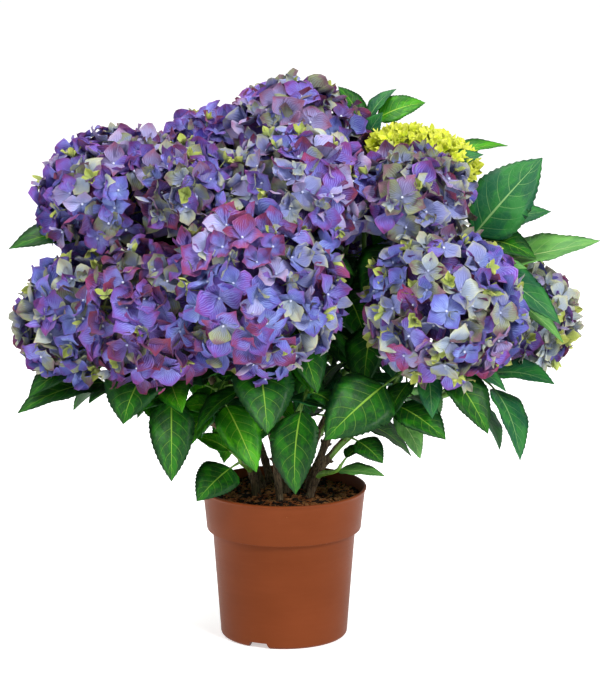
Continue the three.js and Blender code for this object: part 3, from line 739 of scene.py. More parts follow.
def pot_look():
    look = Look("terracotta_plastic", specular=0.08)
    broad = look.noise(look.place((9, 9, 14)), 1, 3)
    fine = look.noise(look.place(), 900, 3)
    flow = look.noise(look.place((30, 30, 240)), 1, 4)
    ground = look.ramp(broad, (0.3, (102, 47, 18)), (0.7, (113, 54, 24)))
    ground = look.blend(look.smooth(flow, 0.45, 0.8, 0, 0.16), ground, (124, 62, 34))
    scuff = look.noise(look.place((60, 60, 20), (3, 1, 0)), 1, 6, 0.7)
    scuff = look.smooth(scuff, 0.6, 0.78, 0, 0.2)
    ground = look.blend(scuff, ground, (132, 76, 50))
    speck = look.smooth(look.noise(look.place(), 330, 4, 0.7), 0.66, 0.76)
    low = look.smooth(look.parts(look.place())[2], 0, 0.035, 0.35, 0.03)
    ground = look.blend(speck * low, ground, (84, 58, 42))
    look.join(look.smooth(fine + scuff, 0.3, 0.9, 0.4, 0.58), look.surface["Roughness"])
    look.relief(flow * 0.4 + fine, 0.12, 0.35)
    return look.done(ground)


def soil_look(name, low, mid, high, scale):
    look = Look(name, 0.95, 0.2)
    grain = look.noise(look.place(), scale, 6, 0.7)
    look.relief(grain, 0.9, 1.6)
    return look.done(look.ramp(grain, (0.32, low), (0.52, mid), (0.74, high)))


# ---- forms that are modelled once -----------------------------------------------------------


def pick(mesh, test):
    """Selects, in edit mode, the vertices that pass a test."""
    shape = bmesh.from_edit_mesh(mesh)
    shape.select_mode = {"VERT"}
    for vertex in shape.verts:
        vertex.select_set(False)
    for vertex in shape.verts:
        if test(vertex):
            vertex.select_set(True)
    shape.select_flush_mode()
    bmesh.update_edit_mesh(mesh)


def move(x=0.0, y=0.0, z=0.0):
    bpy.ops.transform.translate(value=(x, y, z))


def widen(x=1.0, y=1.0, z=1.0, centre=(0, 0, 0)):
    bpy.ops.transform.resize(value=(x, y, z), center_override=centre)


def started(add, place=(0, 0, 0), **size):
    """A new primitive with its place in its mesh, open for editing and selected all over."""
    bpy.ops.object.select_all(action="DESELECT")
    add(location=place, **size)
    bpy.ops.object.transform_apply(location=True, rotation=True, scale=True)
    bpy.ops.object.mode_set(mode="EDIT")
    bpy.ops.mesh.select_all(action="SELECT")
    return bpy.context.object


def drawn_out(profile, extrude):
    """Extrudes the selected ring through a profile of radii and heights."""
    for (radius, height), (wider, higher) in zip(profile, profile[1:]):
        extrude(TRANSFORM_OT_translate={"value": (0, 0, (higher - height) * MM)})
        grow = wider / radius
        widen(x=grow, y=grow, centre=(0, 0, higher * MM))


def new_blade(columns, rows):
    """A flat grid a unit long and wide, with its root at the origin."""
    grid = bpy.ops.mesh.primitive_grid_add
    return started(grid, (0, 0.5, 0), x_subdivisions=columns, y_subdivisions=rows, size=1)


def shape_rows(blade, columns, rows, row_form):
    """Sets each row's place along the blade, its half width and how far it rises."""
    for row in range(rows + 1):
        along, half, rise = row_form(row)
        pick(blade.data, lambda v: v.index // (columns + 1) == row)
        widen(x=2 * half)
        move(y=along - row / rows, z=rise)


def lift(blade, indices, height):
    """Lifts some of a blade's vertices."""
    pick(blade.data, lambda v: v.index in indices)
    move(z=height)


def taken_from(blade):
    """A finished form's vertices, faces and map. The form itself is removed."""
    bpy.ops.object.mode_set(mode="OBJECT")
    mesh = blade.data
    verts = np.array([v.co[:] for v in mesh.vertices])
    faces = np.array([p.vertices[:] for p in mesh.polygons])
    layer = mesh.uv_layers.active
    uv = np.array([[layer.data[i].uv[:] for i in p.loop_indices] for p in mesh.polygons])
    bpy.data.objects.remove(blade)
    bpy.data.meshes.remove(mesh)
    return Shape(verts, faces, uv)


PETAL_BLADE = (6, 6)
PETAL_OUTLINE = [  # place along a petal and its half width, as shares of its length
    (0.0, 0.05), (0.15, 0.21), (0.34, 0.41), (0.52, 0.5), (0.71, 0.38), (0.87, 0.18), (1.0, 0.006),
]


def petal_form(cup, curl, wave, width=1.0, crease=0.05):
    """A pointed petal that rises by cup, bends back by curl at its tip and has a wavy edge."""
    columns, rows = PETAL_BLADE
    blade = new_blade(columns, rows)

    def row_form(row):
        along, half = PETAL_OUTLINE[row]
        return along, half * width, cup * along**2 - curl * max(0, along - 0.5) ** 2

    shape_rows(blade, columns, rows, row_form)
    for row in range(1, rows):
        first, share = row * (columns + 1), PETAL_OUTLINE[row][1] * 2
        for step, rise in ((0, 0.06 + cup * 0.3), (1, 0.02 + cup * 0.1), (3, -crease)):
            lift(blade, (first + step, first + columns - step), rise * share)
    for row, side in ((2, 0), (3, 1), (4, 0), (5, 1)):
        for step, share in ((0, 1), (1, 0.5)):
            index = row * (columns + 1) + (columns - step if side else step)
            lift(blade, (index,), share * (wave if row in (2, 5) else -wave))
    return taken_from(blade)


LEAF_OUTLINE = [  # place along a blade and its half width, widest at 1
    (0.0, 0.08), (0.05, 0.4), (0.12, 0.7), (0.22, 0.92), (0.34, 1.0), (0.47, 0.96),
    (0.6, 0.83), (0.72, 0.65), (0.83, 0.43), (0.92, 0.21), (1.0, 0.012),
]


def leaf_form(columns, rows, tooth, fold):
    """A toothed, folded blade a unit long, with half widths up to a half."""
    blade = new_blade(columns, rows)
    places, halves = zip(*LEAF_OUTLINE)

    def half_at(row):
        return float(np.interp(row / rows, places, halves))

    shape_rows(blade, columns, rows, lambda row: (row / rows, 0.5 * half_at(row), 0.0))
    for row in range(2, rows - 1):
        first = row * (columns + 1)
        pick(blade.data, lambda v: v.index in (first, first + columns))
        widen(x=1 + tooth if row % 2 else 1 - tooth)
        if row % 2:
            move(y=0.35 / rows)
    for row in range(1, rows):
        first = row * (columns + 1)
        for step in range(columns // 2):
            off = (1 - 2 * step / columns) * half_at(row)
            lift(blade, (first + step, first + columns - step), fold * off**1.4)
    return taken_from(blade)


def two_sided(sheet, columns, rows):
    """A blade as a thin closed body: its underside shares the edge, on its own half of the map."""
    count = len(sheet.verts)
    row, column = np.divmod(np.arange(count), columns + 1)
    rim = (column == 0) | (column == columns) | (row == 0) | (row == rows)
    partner = np.arange(count) + np.where(rim, 0, count)
    body = Shape(np.concatenate([sheet.verts, sheet.verts]), sheet.faces, None)
    body.lower = np.concatenate([np.zeros(count, bool), ~rim])
    body.top_uv = sheet.uv * [0.48, 0.98] + 0.01
    body.bottom = partner[sheet.faces][:, ::-1]
    body.bottom_uv = (body.top_uv + [0.5, 0])[:, ::-1]
    return body


def bead_form():
    """A small faceted bud with a pointed crown."""
    bead = started(bpy.ops.mesh.primitive_ico_sphere_add, subdivisions=1, radius=1)
    pick(bead.data, lambda v: v.co.z > 0.9)
    move(z=0.35)
    return taken_from(bead)


def crumb_form(seed):
    """An uneven lump."""
    crumb = started(bpy.ops.mesh.primitive_ico_sphere_add, subdivisions=1, radius=1)
    bpy.ops.transform.vertex_random(offset=0.55, seed=seed)
    widen(z=0.7)
    return taken_from(crumb)


# ---- lines of the plant ---------------------------------------------------------------------


def cane_line(plan):
    """A cane's point and direction at a share of its length."""
    start, end = vec((*plan["foot"], SOIL_Z + CLEAR)), vec(plan["tip"])
    pull = 2 * vec(plan["bend"]) - (start + end) / 2

    def at(t):
        return (1 - t) ** 2 * start + 2 * t * (1 - t) * pull + t * t * end

    def way(t):
        return unit(2 * (1 - t) * (pull - start) + 2 * t * (end - pull))

    return at, way


def head_of(plan):
    return plan["ends"] if isinstance(plan["ends"], dict) else None


def neck(bloom):
    """Where the stalk of a head starts, below its core."""
    depth = bloom["radius"] * bloom["flat"] * CORE + PEDUNCLE
    return vec(bloom["centre"]) - unit(vec(bloom["axis"])) * depth


def head_level(bloom, places):
    """How far out of a head's ellipsoid places lie, 1 on its surface, and how high in it."""
    offset = places - vec(bloom["centre"])
    height = offset @ unit(vec(bloom["axis"]))
    across = np.sqrt(np.maximum(0, (offset**2).sum(-1) - height**2))
    height = height / (bloom["radius"] * bloom["flat"])
    return np.hypot(height, across / bloom["radius"]), height


def shoot_line(plan):
    """A shoot's point at a share of its length, from its cane to under its head."""
    at, way = cane_line(CANES[plan["cane"]])
    start, onward = at(plan["at"]), way(plan["at"])
    bloom = head_of(plan)
    axis = unit(vec(bloom["axis"])) if bloom else 0
    end = neck(bloom) - axis * CLEAR if bloom else vec(plan["ends"])
    handle = np.linalg.norm(end - start) * SHOOT_HANDLE
    chord = unit(end - start)
    near = start + unit(onward * 0.5 + chord * 0.8) * handle
    far = end - (axis if bloom else unit(chord + UP)) * handle

    def point(t):
        s = 1 - t
        return s**3 * start + 3 * s * s * t * near + 3 * s * t * t * far + t**3 * end

    return point


# ---- leaves ---------------------------------------------------------------------------------

FINE_BLADE, COARSE_BLADE = (6, 34), (2, 5)  # columns and rows of a leaf, seen and for its room
ROOT_POINTS = 6  # vertices of the coarse blade nearest its root, which may touch a limb


class LeafPlace:
    """Where a leaf lies: its bowed midrib line and the directions across and above it."""

    def __init__(self, root, spec, bend, droop):
        turn, slope = math.radians(spec["turn"]), math.radians(spec["slope"])
        flat = math.cos(slope)
        self.along = vec((math.cos(turn) * flat, math.sin(turn) * flat, math.sin(slope)))
        upper = unit(UP - self.along * self.along[2])
        self.upper = turned(upper, self.along, -math.radians(spec["roll"]))
        self.right = np.cross(self.along, self.upper)
        self.root, self.bend, self.droop = root, bend, droop
        self.reach, self.arch = spec["reach"], spec["arch"]
        self.length = self.reach * (1 - PETIOLE_SHARE)
        self.width = self.length * spec["width"]

    def midrib(self, s):
        s = np.asarray(s, float)[..., None]
        bow = 4 * self.arch * s * (1 - s) - self.droop * np.maximum(0, s - DROOP_FROM) ** 2
        side = self.bend * np.maximum(0, s - PETIOLE_SHARE) ** 2
        return self.root + self.reach * (self.along * s + self.upper * bow + self.right * side)

    def lay(self, verts, ripple=0.0, phase=0.0):
        """A flat blade's vertices, bent along the midrib, with a rippled edge."""
        s = PETIOLE_SHARE + (1 - PETIOLE_SHARE) * verts[:, 1]
        step = 0.01
        ways = unit(self.midrib(s + step) - self.midrib(s - step))
        above = unit(np.cross(self.right, ways))
        across = verts[:, :1] * self.width
        edge = (2 * np.abs(verts[:, 0])) ** 2
        wave = ripple * edge * np.sin(verts[:, 1] * RIPPLES + phase + np.sign(verts[:, 0]))
        rise = (verts[:, 2] + wave)[:, None] * self.length
        return self.midrib(s) + self.right * across + above * rise, above


class Room:
    """The space that is taken by heads, limbs and leaves."""

    def __init__(self, heads, limbs):
        self.heads, self.limbs, self.trees = heads, limbs, []

    def in_head(self, points, share):
        for bloom in self.heads:
            level, height = head_level(bloom, points)
            if ((level < share) & (height >= HEAD_EDGE * 0.9)).any():
                return True
        return False

    def on_limb(self, points, owner):
        return any(
            name != owner and np.linalg.norm(points[:, None] - line, axis=2).min() < radius
            for name, line, radius in self.limbs
        )

    def takes(self, points, faces):
        """Keeps the place of a leaf that crosses no other, and tells whether it does."""
        tree = BVHTree.FromPolygons(points.tolist(), faces.tolist())
        free = not any(tree.overlap(other) for other in self.trees)
        if free:
            self.trees.append(tree)
        return free


def pair_shares(plan):
    """The places along a shoot of its pairs of leaves."""
    count = plan["pairs"]["count"] if plan["pairs"] else 0
    return [mix(*PAIR_SPAN, LONE_PAIR if count == 1 else i / (count - 1)) for i in range(count)]


def paired_leaves(plan, random):
    """A shoot's pairs of leaves, each pair a quarter turn on from the one below."""
    rows = plan["pairs"]
    return [
        leaf(
            share,
            rows["turn"] + 90 * i + side + mix(*PAIR_TURN, random()),
            mix(*PAIR_SLOPE, random()),
            rows["reach"] * mix(*PAIR_REACH, random()),
            PAIR_WIDTH,
            mix(*PAIR_ROLL, random()),
        )
        for i, share in enumerate(pair_shares(plan))
        for side in (0, 180)
    ]


def filling_leaves(plan, draw):
    """Finer leaves of the same kind between the pairs, which fill the inside of the plant."""
    rows = plan["pairs"]
    return [
        leaf(
            mix(*FILL_SPAN, (i + draw()) / rows["count"]),
            rows["turn"] + 90 * i + side + mix(*FILL_TURN, draw()),
            mix(*FILL_SLOPE, draw()),
            mix(*FILL_REACH, draw()),
            mix(*FILL_WIDTH, draw()),
            mix(*PAIR_ROLL, draw()),
        )
        for i in range(len(pair_shares(plan)))
        for side in (45, 225, 135)
    ]


LEAF_MIX = dict(deep=0.5, vivid=0.36, sea=0.14)
LEAF_MIX_OF = dict(
    fan=dict(sea=0.62, pale=0.2, deep=0.18),
    far_right=dict(sea=0.6, pale=0.4),
    peak=dict(vivid=0.55, sea=0.45),
    high_left=dict(deep=1),
    right_low=dict(deep=0.4, sea=0.6),
)


def dealt(shares, number):
    """One name out of a table of shares, for a number from 0 to 1."""
    total = sum(shares.values())
    for name, share in shares.items():
        number -= share / total
        if number < 0:
            return name
    return name


def fitted(room, name, root, spec, own, coarse, share_in):
    """The first size and turn of a leaf that has room, or nothing."""
    for share in SMALLER:
        for swing in SWINGS:
            tried = dict(spec, reach=spec["reach"] * share, turn=spec["turn"] + swing)
            place = LeafPlace(root, tried, *own)
            points = place.lay(coarse.verts)[0]
            if share_in and room.in_head(points, share_in):
                continue
            if not room.on_limb(points[ROOT_POINTS:], name) and room.takes(points, coarse.faces):
                return place
    return None


def grow_leaves(room, forms, stems):
    """Lays every leaf that has room, by its look, and its stalk among the stems.

    The named leaves come first, then the pairs, then the ones that fill the inside."""
    fine, coarse = forms
    heaps = {name: Heap() for name in LEAF_LOOKS}
    draw = seeded(900)
    ranks = [], [], []
    for i, (name, plan) in enumerate(SHOOTS.items()):
        ranks[0].extend((name, spec) for spec in plan["leaves"])
        ranks[1].extend((name, spec) for spec in paired_leaves(plan, seeded(100 + i)))
        ranks[2].extend((name, spec) for spec in filling_leaves(plan, draw))
    for (name, spec), named in [(entry, rank is ranks[0]) for rank in ranks for entry in rank]:
        own = mix(*LEAF_BEND, draw()), mix(0, NAMED_DROOP if named else LEAF_DROOP, draw())
        look = dealt(LEAF_MIX_OF.get(name, LEAF_MIX), draw())
        phase = draw() * 6
        root = shoot_line(SHOOTS[name])(spec["at"])
        place = fitted(room, name, root, spec, own, coarse, 0 if named else HEAD_ROOM)
        if not place:
            continue
        verts, above = place.lay(fine.verts, RIPPLE_HEIGHT, phase)
        verts = verts - above * LEAF_THICK * fine.lower[:, None]
        sides = (fine.faces, fine.top_uv, 0), (fine.bottom, fine.bottom_uv, 1)
        heaps[spec["look"] or look].add(verts, *sides)
        stalk = place.midrib(np.linspace(0, PETIOLE_SHARE + 0.02, 6))
        tube(stems, stalk, np.linspace(PETIOLE_R, PETIOLE_R * 0.55, 6), 6)
    return heaps


# ---- flower heads ---------------------------------------------------------------------------

HEAD_MIX = dict(  # one table of shares, or one for each side of the head, left and right
    front=(
        dict(violet=28, flushed=26, magenta=16, blue=12, crimson=12, sage=6),
        dict(blue=26, lilac=20, violet=18, flushed=14, rimmed=10, cream=12),
    ),
    front_left=(dict(crimson=34, violet=20, magenta=18, flushed=12, blue=10, sage=6),),
    low_left=(dict(blue=42, violet=16, rimmed=14, sage=16, cream=12),),
    right_low=(
        dict(blue=32, violet=18, rimmed=18, lilac=8, magenta=6, sage=10, cream=8),
        dict(blue=22, rimmed=20, sage=24, cream=14, violet=10, mauve=10),
    ),
    far_right=(dict(cream=50, lilac=16, blue=16, young=18),),
    middle=(
        dict(lilac=22, cream=20, rimmed=18, mauve=14, blue=10, violet=8, sage=8),
        dict(lilac=20, violet=18, blue=16, cream=16, flushed=12, rimmed=12, crimson=6),
    ),
    top=(
        dict(violet=28, flushed=16, blue=20, mauve=16, lilac=8, rimmed=6, sage=6),
        dict(mauve=24, crimson=16, violet=20, blue=12, rimmed=12, sage=16),
    ),
    top_left=(dict(violet=36, flushed=20, magenta=14, mauve=15, blue=15),),
    high_left=(
        dict(violet=42, flushed=16, lilac=16, magenta=8, blue=14, crimson=4),
        dict(violet=30, lilac=26, mauve=12, flushed=10, sage=6, cream=6, blue=10),
    ),
    middle_left=(dict(lilac=20, mauve=18, violet=16, rimmed=14, cream=12, blue=10, sage=10),),
    right_high=(dict(sage=34, mauve=22, rimmed=16, blue=12, cream=10, violet=6),),
    lime=(dict(lime=1),),
    back_left=(dict(violet=30, blue=26, flushed=20, magenta=12, lilac=12),),
    back=(dict(violet=30, blue=30, mauve=16, rimmed=12, cream=12),),
    back_right=(dict(blue=34, lilac=14, violet=20, rimmed=20, cream=12),),
    far_left=(dict(blue=34, violet=26, magenta=16, rimmed=14, sage=10),),
)
# Darker colours for the inner layer of florets: painted shade for the inside of a head.
SHADED_INNER_MIX = (dict(violet=0.4, crimson=0.35, sage=0.25),)
GAP_MIX = (dict(young=0.5, cream=0.25, sage=0.25),)
GAP_AREA = dict(  # where it is not the common one
    right_low=1700, far_right=1100, right_high=1700, middle=2200, middle_left=2200, low_left=2200
)


def head_places(bloom, area, low, high, draw, tilt=0.58):
    """Florets spread evenly over a head's ellipsoid: their middles, facings, spins and sizes."""
    axis = unit(vec(bloom["axis"]))
    across, onward = square_to(axis)
    radius, flat = bloom["radius"], bloom["flat"]
    surface = 2 * math.pi * radius**2 * (1 - HEAD_EDGE) * math.sqrt(flat)
    count = round(surface / area)
    found = []
    for i in range(count):
        height = 1 - (i + 0.5) / count * (1 - HEAD_EDGE)
        around = i * GOLDEN_TURN + radius + 0.25 * draw()
        ring = math.sqrt(1 - height * height)
        outward = across * ring * math.cos(around) + onward * ring * math.sin(around)
        depth = radius * mix(low, high, draw())
        offset = outward * depth + axis * height * flat * depth
        facing = unit(outward + axis * height / flat)
        facing = unit(facing + (vec((draw(), draw(), draw())) - 0.5) * 2 * tilt)
        found.append((offset, facing, draw() * math.pi, mix(*FLORET_SIZES, draw())))
    return found


class Florets:
    """Petals by look and form, the buds in their middles and the stalks that carry them."""

    def __init__(self):
        self.petals, self.beads, self.stalks = {}, [], Heap()

    def add(self, bloom, looks, forms, middle, facing, spin, reach, draw, opening):
        """Four petals round a middle, drawn in until their tips keep to the head's space."""
        across, onward = square_to(facing)
        outward = unit(middle - vec(bloom["centre"]))
        petals = []
        for i in range(4):
            angle = spin + i * math.pi / 2 + mix(*PETAL_SWING, draw())
            out = across * math.cos(angle) + onward * math.sin(angle)
            side = np.cross(out, facing)
            rise = math.radians(mix(*opening, draw()))
            up, out = turned(facing, side, rise), turned(out, side, rise)
            twist = math.radians(mix(*PETAL_TWIST, draw()))
            side, up = turned(side, out, twist), turned(up, out, twist)
            long = reach * mix(*PETAL_LENGTHS, draw())
            wide = long * mix(*PETAL_WIDTHS, draw())
            turn = np.stack([side * wide, out * long, up * long], 1)
            form = forms[int(draw() * len(forms))]
            look = looks[0] if draw() < 0.7 else looks[1]
            petals.append((look, form, int(draw() * 4), turn, facing * (0.6 if i % 2 else 0.0)))
        tips = [middle + turn[:, 1] + 0.2 * turn[:, 2] for *_, turn, _ in petals]
        excess = head_level(bloom, np.array(tips))[0].max() - 1 - PROUD / bloom["radius"]
        middle = middle - outward * max(0, excess) * bloom["radius"]
        for look, form, kind, turn, over in petals:
            self.petals.setdefault((look, form), []).append((turn, middle + over, kind))
        return middle


def layers_of(name, bloom):
    """A head's layers, outermost first: the surface that each floret has, the depths between
    which it lies as shares of the radius, its reach, colours, forms and how far it opens."""
    sides = HEAD_MIX[name]
    if bloom["young"]:
        return [
            (YOUNG_FLORET_AREA, 0.93, 1.04, YOUNG_FLORET_R, sides, YOUNG_FORMS, (8, 62)),
            (YOUNG_FLORET_AREA * 2, 0.74, 0.86, YOUNG_FLORET_R, sides, YOUNG_FORMS, (5, 50)),
        ]
    gap_area = GAP_AREA.get(name, COMMON_GAP_AREA)
    return [
        (FLORET_AREA, 0.84, 1.0, FLORET_R, sides, OPEN_FORMS, (-20, 52)),
        (FLORET_AREA * 1.5, 0.64, 0.78, FLORET_R, SHADED_INNER_MIX, OPEN_FORMS, (-4, 30)),
        (gap_area, 0.84, 0.97, YOUNG_FLORET_R, GAP_MIX, YOUNG_FORMS, (10, 55)),
    ]


def grow_heads():
    """All heads: outer florets, a darker inner layer as painted shade, young ones in the gaps."""
    florets = Florets()
    blooms = {name: head_of(plan) for name, plan in SHOOTS.items() if head_of(plan)}
    for i, (name, bloom) in enumerate(blooms.items()):
        draw = seeded(300 + i)
        rivals = [other for other in blooms.values() if other is not bloom]
        centre, axis = vec(bloom["centre"]), unit(vec(bloom["axis"]))
        ray_places = head_places(bloom, RAY_AREA, 1, 1, seeded(5), 0)
        rays = [centre + offset * 0.45 for offset, *_ in ray_places]
        base, fork = neck(bloom), centre - axis * bloom["radius"] * bloom["flat"] * 0.3
        tube(florets.stalks, [base, mix(base, fork, 0.5), fork], STALK_R, 6)
        for ray in rays:
            tube(florets.stalks, [fork, mix(fork, ray, 0.5) - axis * 2, ray], RAY_R, 4)
        for area, low, high, reach, mixture, forms, opening in layers_of(name, bloom):
            for offset, facing, spin, size in head_places(bloom, area, low, high, draw):
                middle = centre + offset
                right = 0.5 + 0.75 * offset[0] / bloom["radius"]
                shares = mixture[-1] if draw() < right else mixture[0]
                looks = dealt(shares, draw()), dealt(shares, draw())
                if any(head_level(other, middle)[0] < OWN_SPACE for other in rivals):
                    continue
                middle = florets.add(
                    bloom, looks, forms, middle, facing, spin, reach * size, draw, opening
                )
                near = min(rays, key=lambda ray: np.linalg.norm(middle - ray))
                bent = mix(near, middle, 0.55) - facing * 1.5
                tube(florets.stalks, [near, bent, middle], PEDICEL_R, 3)
                if reach == FLORET_R:
                    florets.beads.append((middle + facing * 1.4, facing))
    return florets


# ---- soil, canes and pot --------------------------------------------------------------------


def displaced(piece, name, size, strength, group="", way="NORMAL"):
    """Gives a mesh relief from a soft cloud pattern, and applies it."""
    cloud = bpy.data.textures.new(name, "CLOUDS")
    cloud.noise_scale = size * MM
    cloud.noise_depth = 3
    relief = piece.modifiers.new(name, "DISPLACE")
    relief.texture = cloud
    relief.texture_coords = "LOCAL"
    relief.direction = way
    relief.strength = strength * MM
    relief.vertex_group = group
    bpy.context.view_layer.objects.active = piece
    bpy.ops.object.modifier_apply(modifier=name)


def make_canes():
    """Woody canes with swollen joints, bark relief and paired buds."""
    heap = Heap()
    turns, places = [], []
    for i, plan in enumerate(CANES.values()):
        draw = seeded(500 + i)
        at, way = cane_line(plan)
        shares = np.linspace(-0.03, 1, CANE_POINTS)
        points = np.array([at(t) for t in shares])
        length = np.linalg.norm(np.diff(points, axis=0), axis=1).sum()
        flare = 1 + 0.2 * np.exp(-np.maximum(shares, 0) * 14)
        radii = CANE_SLIM * mix(*plan["r"], shares) * flare
        for k, joint in enumerate(np.arange(0.16 + 0.1 * draw(), 0.97, JOINT_STEP / length)):
            radii = radii * (1 + 0.16 * np.exp(-(((shares - joint) * length / 3) ** 2)))
            across, onward = square_to(way(joint))
            for side in (1, -1):
                out = (across if k % 2 else onward) * side
                up = unit(out + way(joint))
                turns.append(np.stack([*square_to(up), up], 1) * BUD_SIZE)
                places.append(at(joint) + out * plan["r"][1] * 1.05)
        tube(heap, points, radii, CANE_SIDES)
    heap.stamp(bead_form(), turns, places)
    canes = new_piece("woody_canes", heap, [bark_look()], "bark", nodes_like("cane_"))
    displaced(canes, "furrows", 2.4, 1.1)
    displaced(canes, "knots", 9, 1.2)


def make_soil():
    """Moist peat: a body with an uneven crust, on which litter_soil lays crumbs and reddish fibres.
    """
    foot_r, foot_z = BASE_R - WALL - 3.5, FOOT_Z + FLOOR + 1
    soil = started(
        bpy.ops.mesh.primitive_circle_add, (0, 0, foot_z * MM), vertices=96, radius=foot_r * MM,
        fill_type="NGON",
    )
    soil.name = "soil_body"
    side = [
        (foot_r, foot_z), (BODY_TOP_R - WALL - 1, LIP_Z - 2), (SOIL_R - 1.5, LIP_Z + 6),
        (SOIL_R, SOIL_Z - 2),
    ]
    drawn_out(side, bpy.ops.mesh.extrude_region_move)
    for _ in range(SOIL_RINGS):
        bpy.ops.mesh.inset(thickness=SOIL_R / (SOIL_RINGS + 1) * MM)
    bpy.ops.mesh.poke()
    bpy.ops.mesh.select_all(action="SELECT")
    bpy.ops.mesh.normals_make_consistent(inside=False)
    pick(soil.data, lambda v: v.co.z > (LIP_Z + 8) * MM)
    bpy.ops.object.mode_set(mode="OBJECT")
    crust = soil.vertex_groups.new(name="crust")
    for vertex in soil.data.vertices:
        if vertex.select:
            radius = vertex.co.xy.length / MM
            crust.add([vertex.index], 0.35 if radius > SOIL_R - 1 else 1.0, "REPLACE")
            vertex.co.z += SOIL_DOME * MM * (1 - (radius / SOIL_R) ** 4)
    displaced(soil, "hollows", 16, 6, "crust", "Z")
    displaced(soil, "lumps", 4.5, 4, "crust", "Z")
    soil.data.shade_smooth()
    peat = soil_look("peat", (14, 9, 5), (30, 20, 12), (62, 42, 26), 420)
    put_in(soil, [peat], "soil", ["soil"])
    return BVHTree.FromPolygons(
        [v.co for v in soil.data.vertices], [p.vertices[:] for p in soil.data.polygons]
    )


def litter_soil(top):
    """Crumbs and fibres that rest on the top of the soil."""
    draw = seeded(700)

    def resting(out=0.98):
        turn, radius = draw() * 2 * math.pi, SOIL_R * out * math.sqrt(draw())
        x, y = radius * math.cos(turn), radius * math.sin(turn)
        hit = top.ray_cast(Vector((x * MM, y * MM, 0.3)), Vector((0, 0, -1)))[0]
        return vec((x, y, hit.z / MM))

    forms = [crumb_form(seed) for seed in (3, 8, 21)]
    for tone, count, least, *colours in (
        ("dark", 1500, 0.7, (8, 5, 3), (24, 15, 8), (50, 32, 18), 700),
        ("brown", 640, 1.5, (58, 34, 16), (126, 84, 46), (192, 140, 88), 900),
    ):
        heap = Heap()
        for form in forms:
            turns, places = [], []
            for _ in range(count // len(forms)):
                up = unit(vec((draw() - 0.5, draw() - 0.5, 0.4 + draw())))
                size = least + 3.4 * draw() ** 2.4
                stretch = [size * mix(0.7, 1.9, draw()), size, size * mix(0.5, 1, draw())]
                turns.append(np.stack([*square_to(up), up], 1) * stretch)
                places.append(resting() + UP * size * 0.25)
            heap.stamp(form, turns, places)
        new_piece(f"crumbs_{tone}", heap, [soil_look(f"crumb_{tone}", *colours)], "soil")
    heap = Heap()
    for _ in range(FIBRES):
        start = resting(0.95) + UP * mix(0.2, 2.2, draw())
        turn, length = draw() * 2 * math.pi, mix(2.5, 11, draw() ** 1.5)
        way = vec((math.cos(turn), math.sin(turn), mix(-0.15, 0.5, draw())))
        side = np.cross(way, UP) * mix(-0.3, 0.3, draw())
        thick = mix(0.18, 0.5, draw() ** 2)
        end = start + way * length - UP * length * 0.12
        bow = [start, start + (way * 0.5 + side) * length, end]
        tube(heap, bow, [thick, thick, thick * 0.5], 4)
    fibre = soil_look("fibre", (74, 36, 14), (128, 72, 34), (180, 118, 66), 160)
    new_piece("peat_fibres", heap, [fibre], "soil")


def arc(radius, height, bend, degrees):
    """The points of a profile where it turns about a middle."""
    angles = [math.radians(angle) for angle in degrees]
    return [(radius + bend * math.cos(a), height + bend * math.sin(a)) for a in angles]


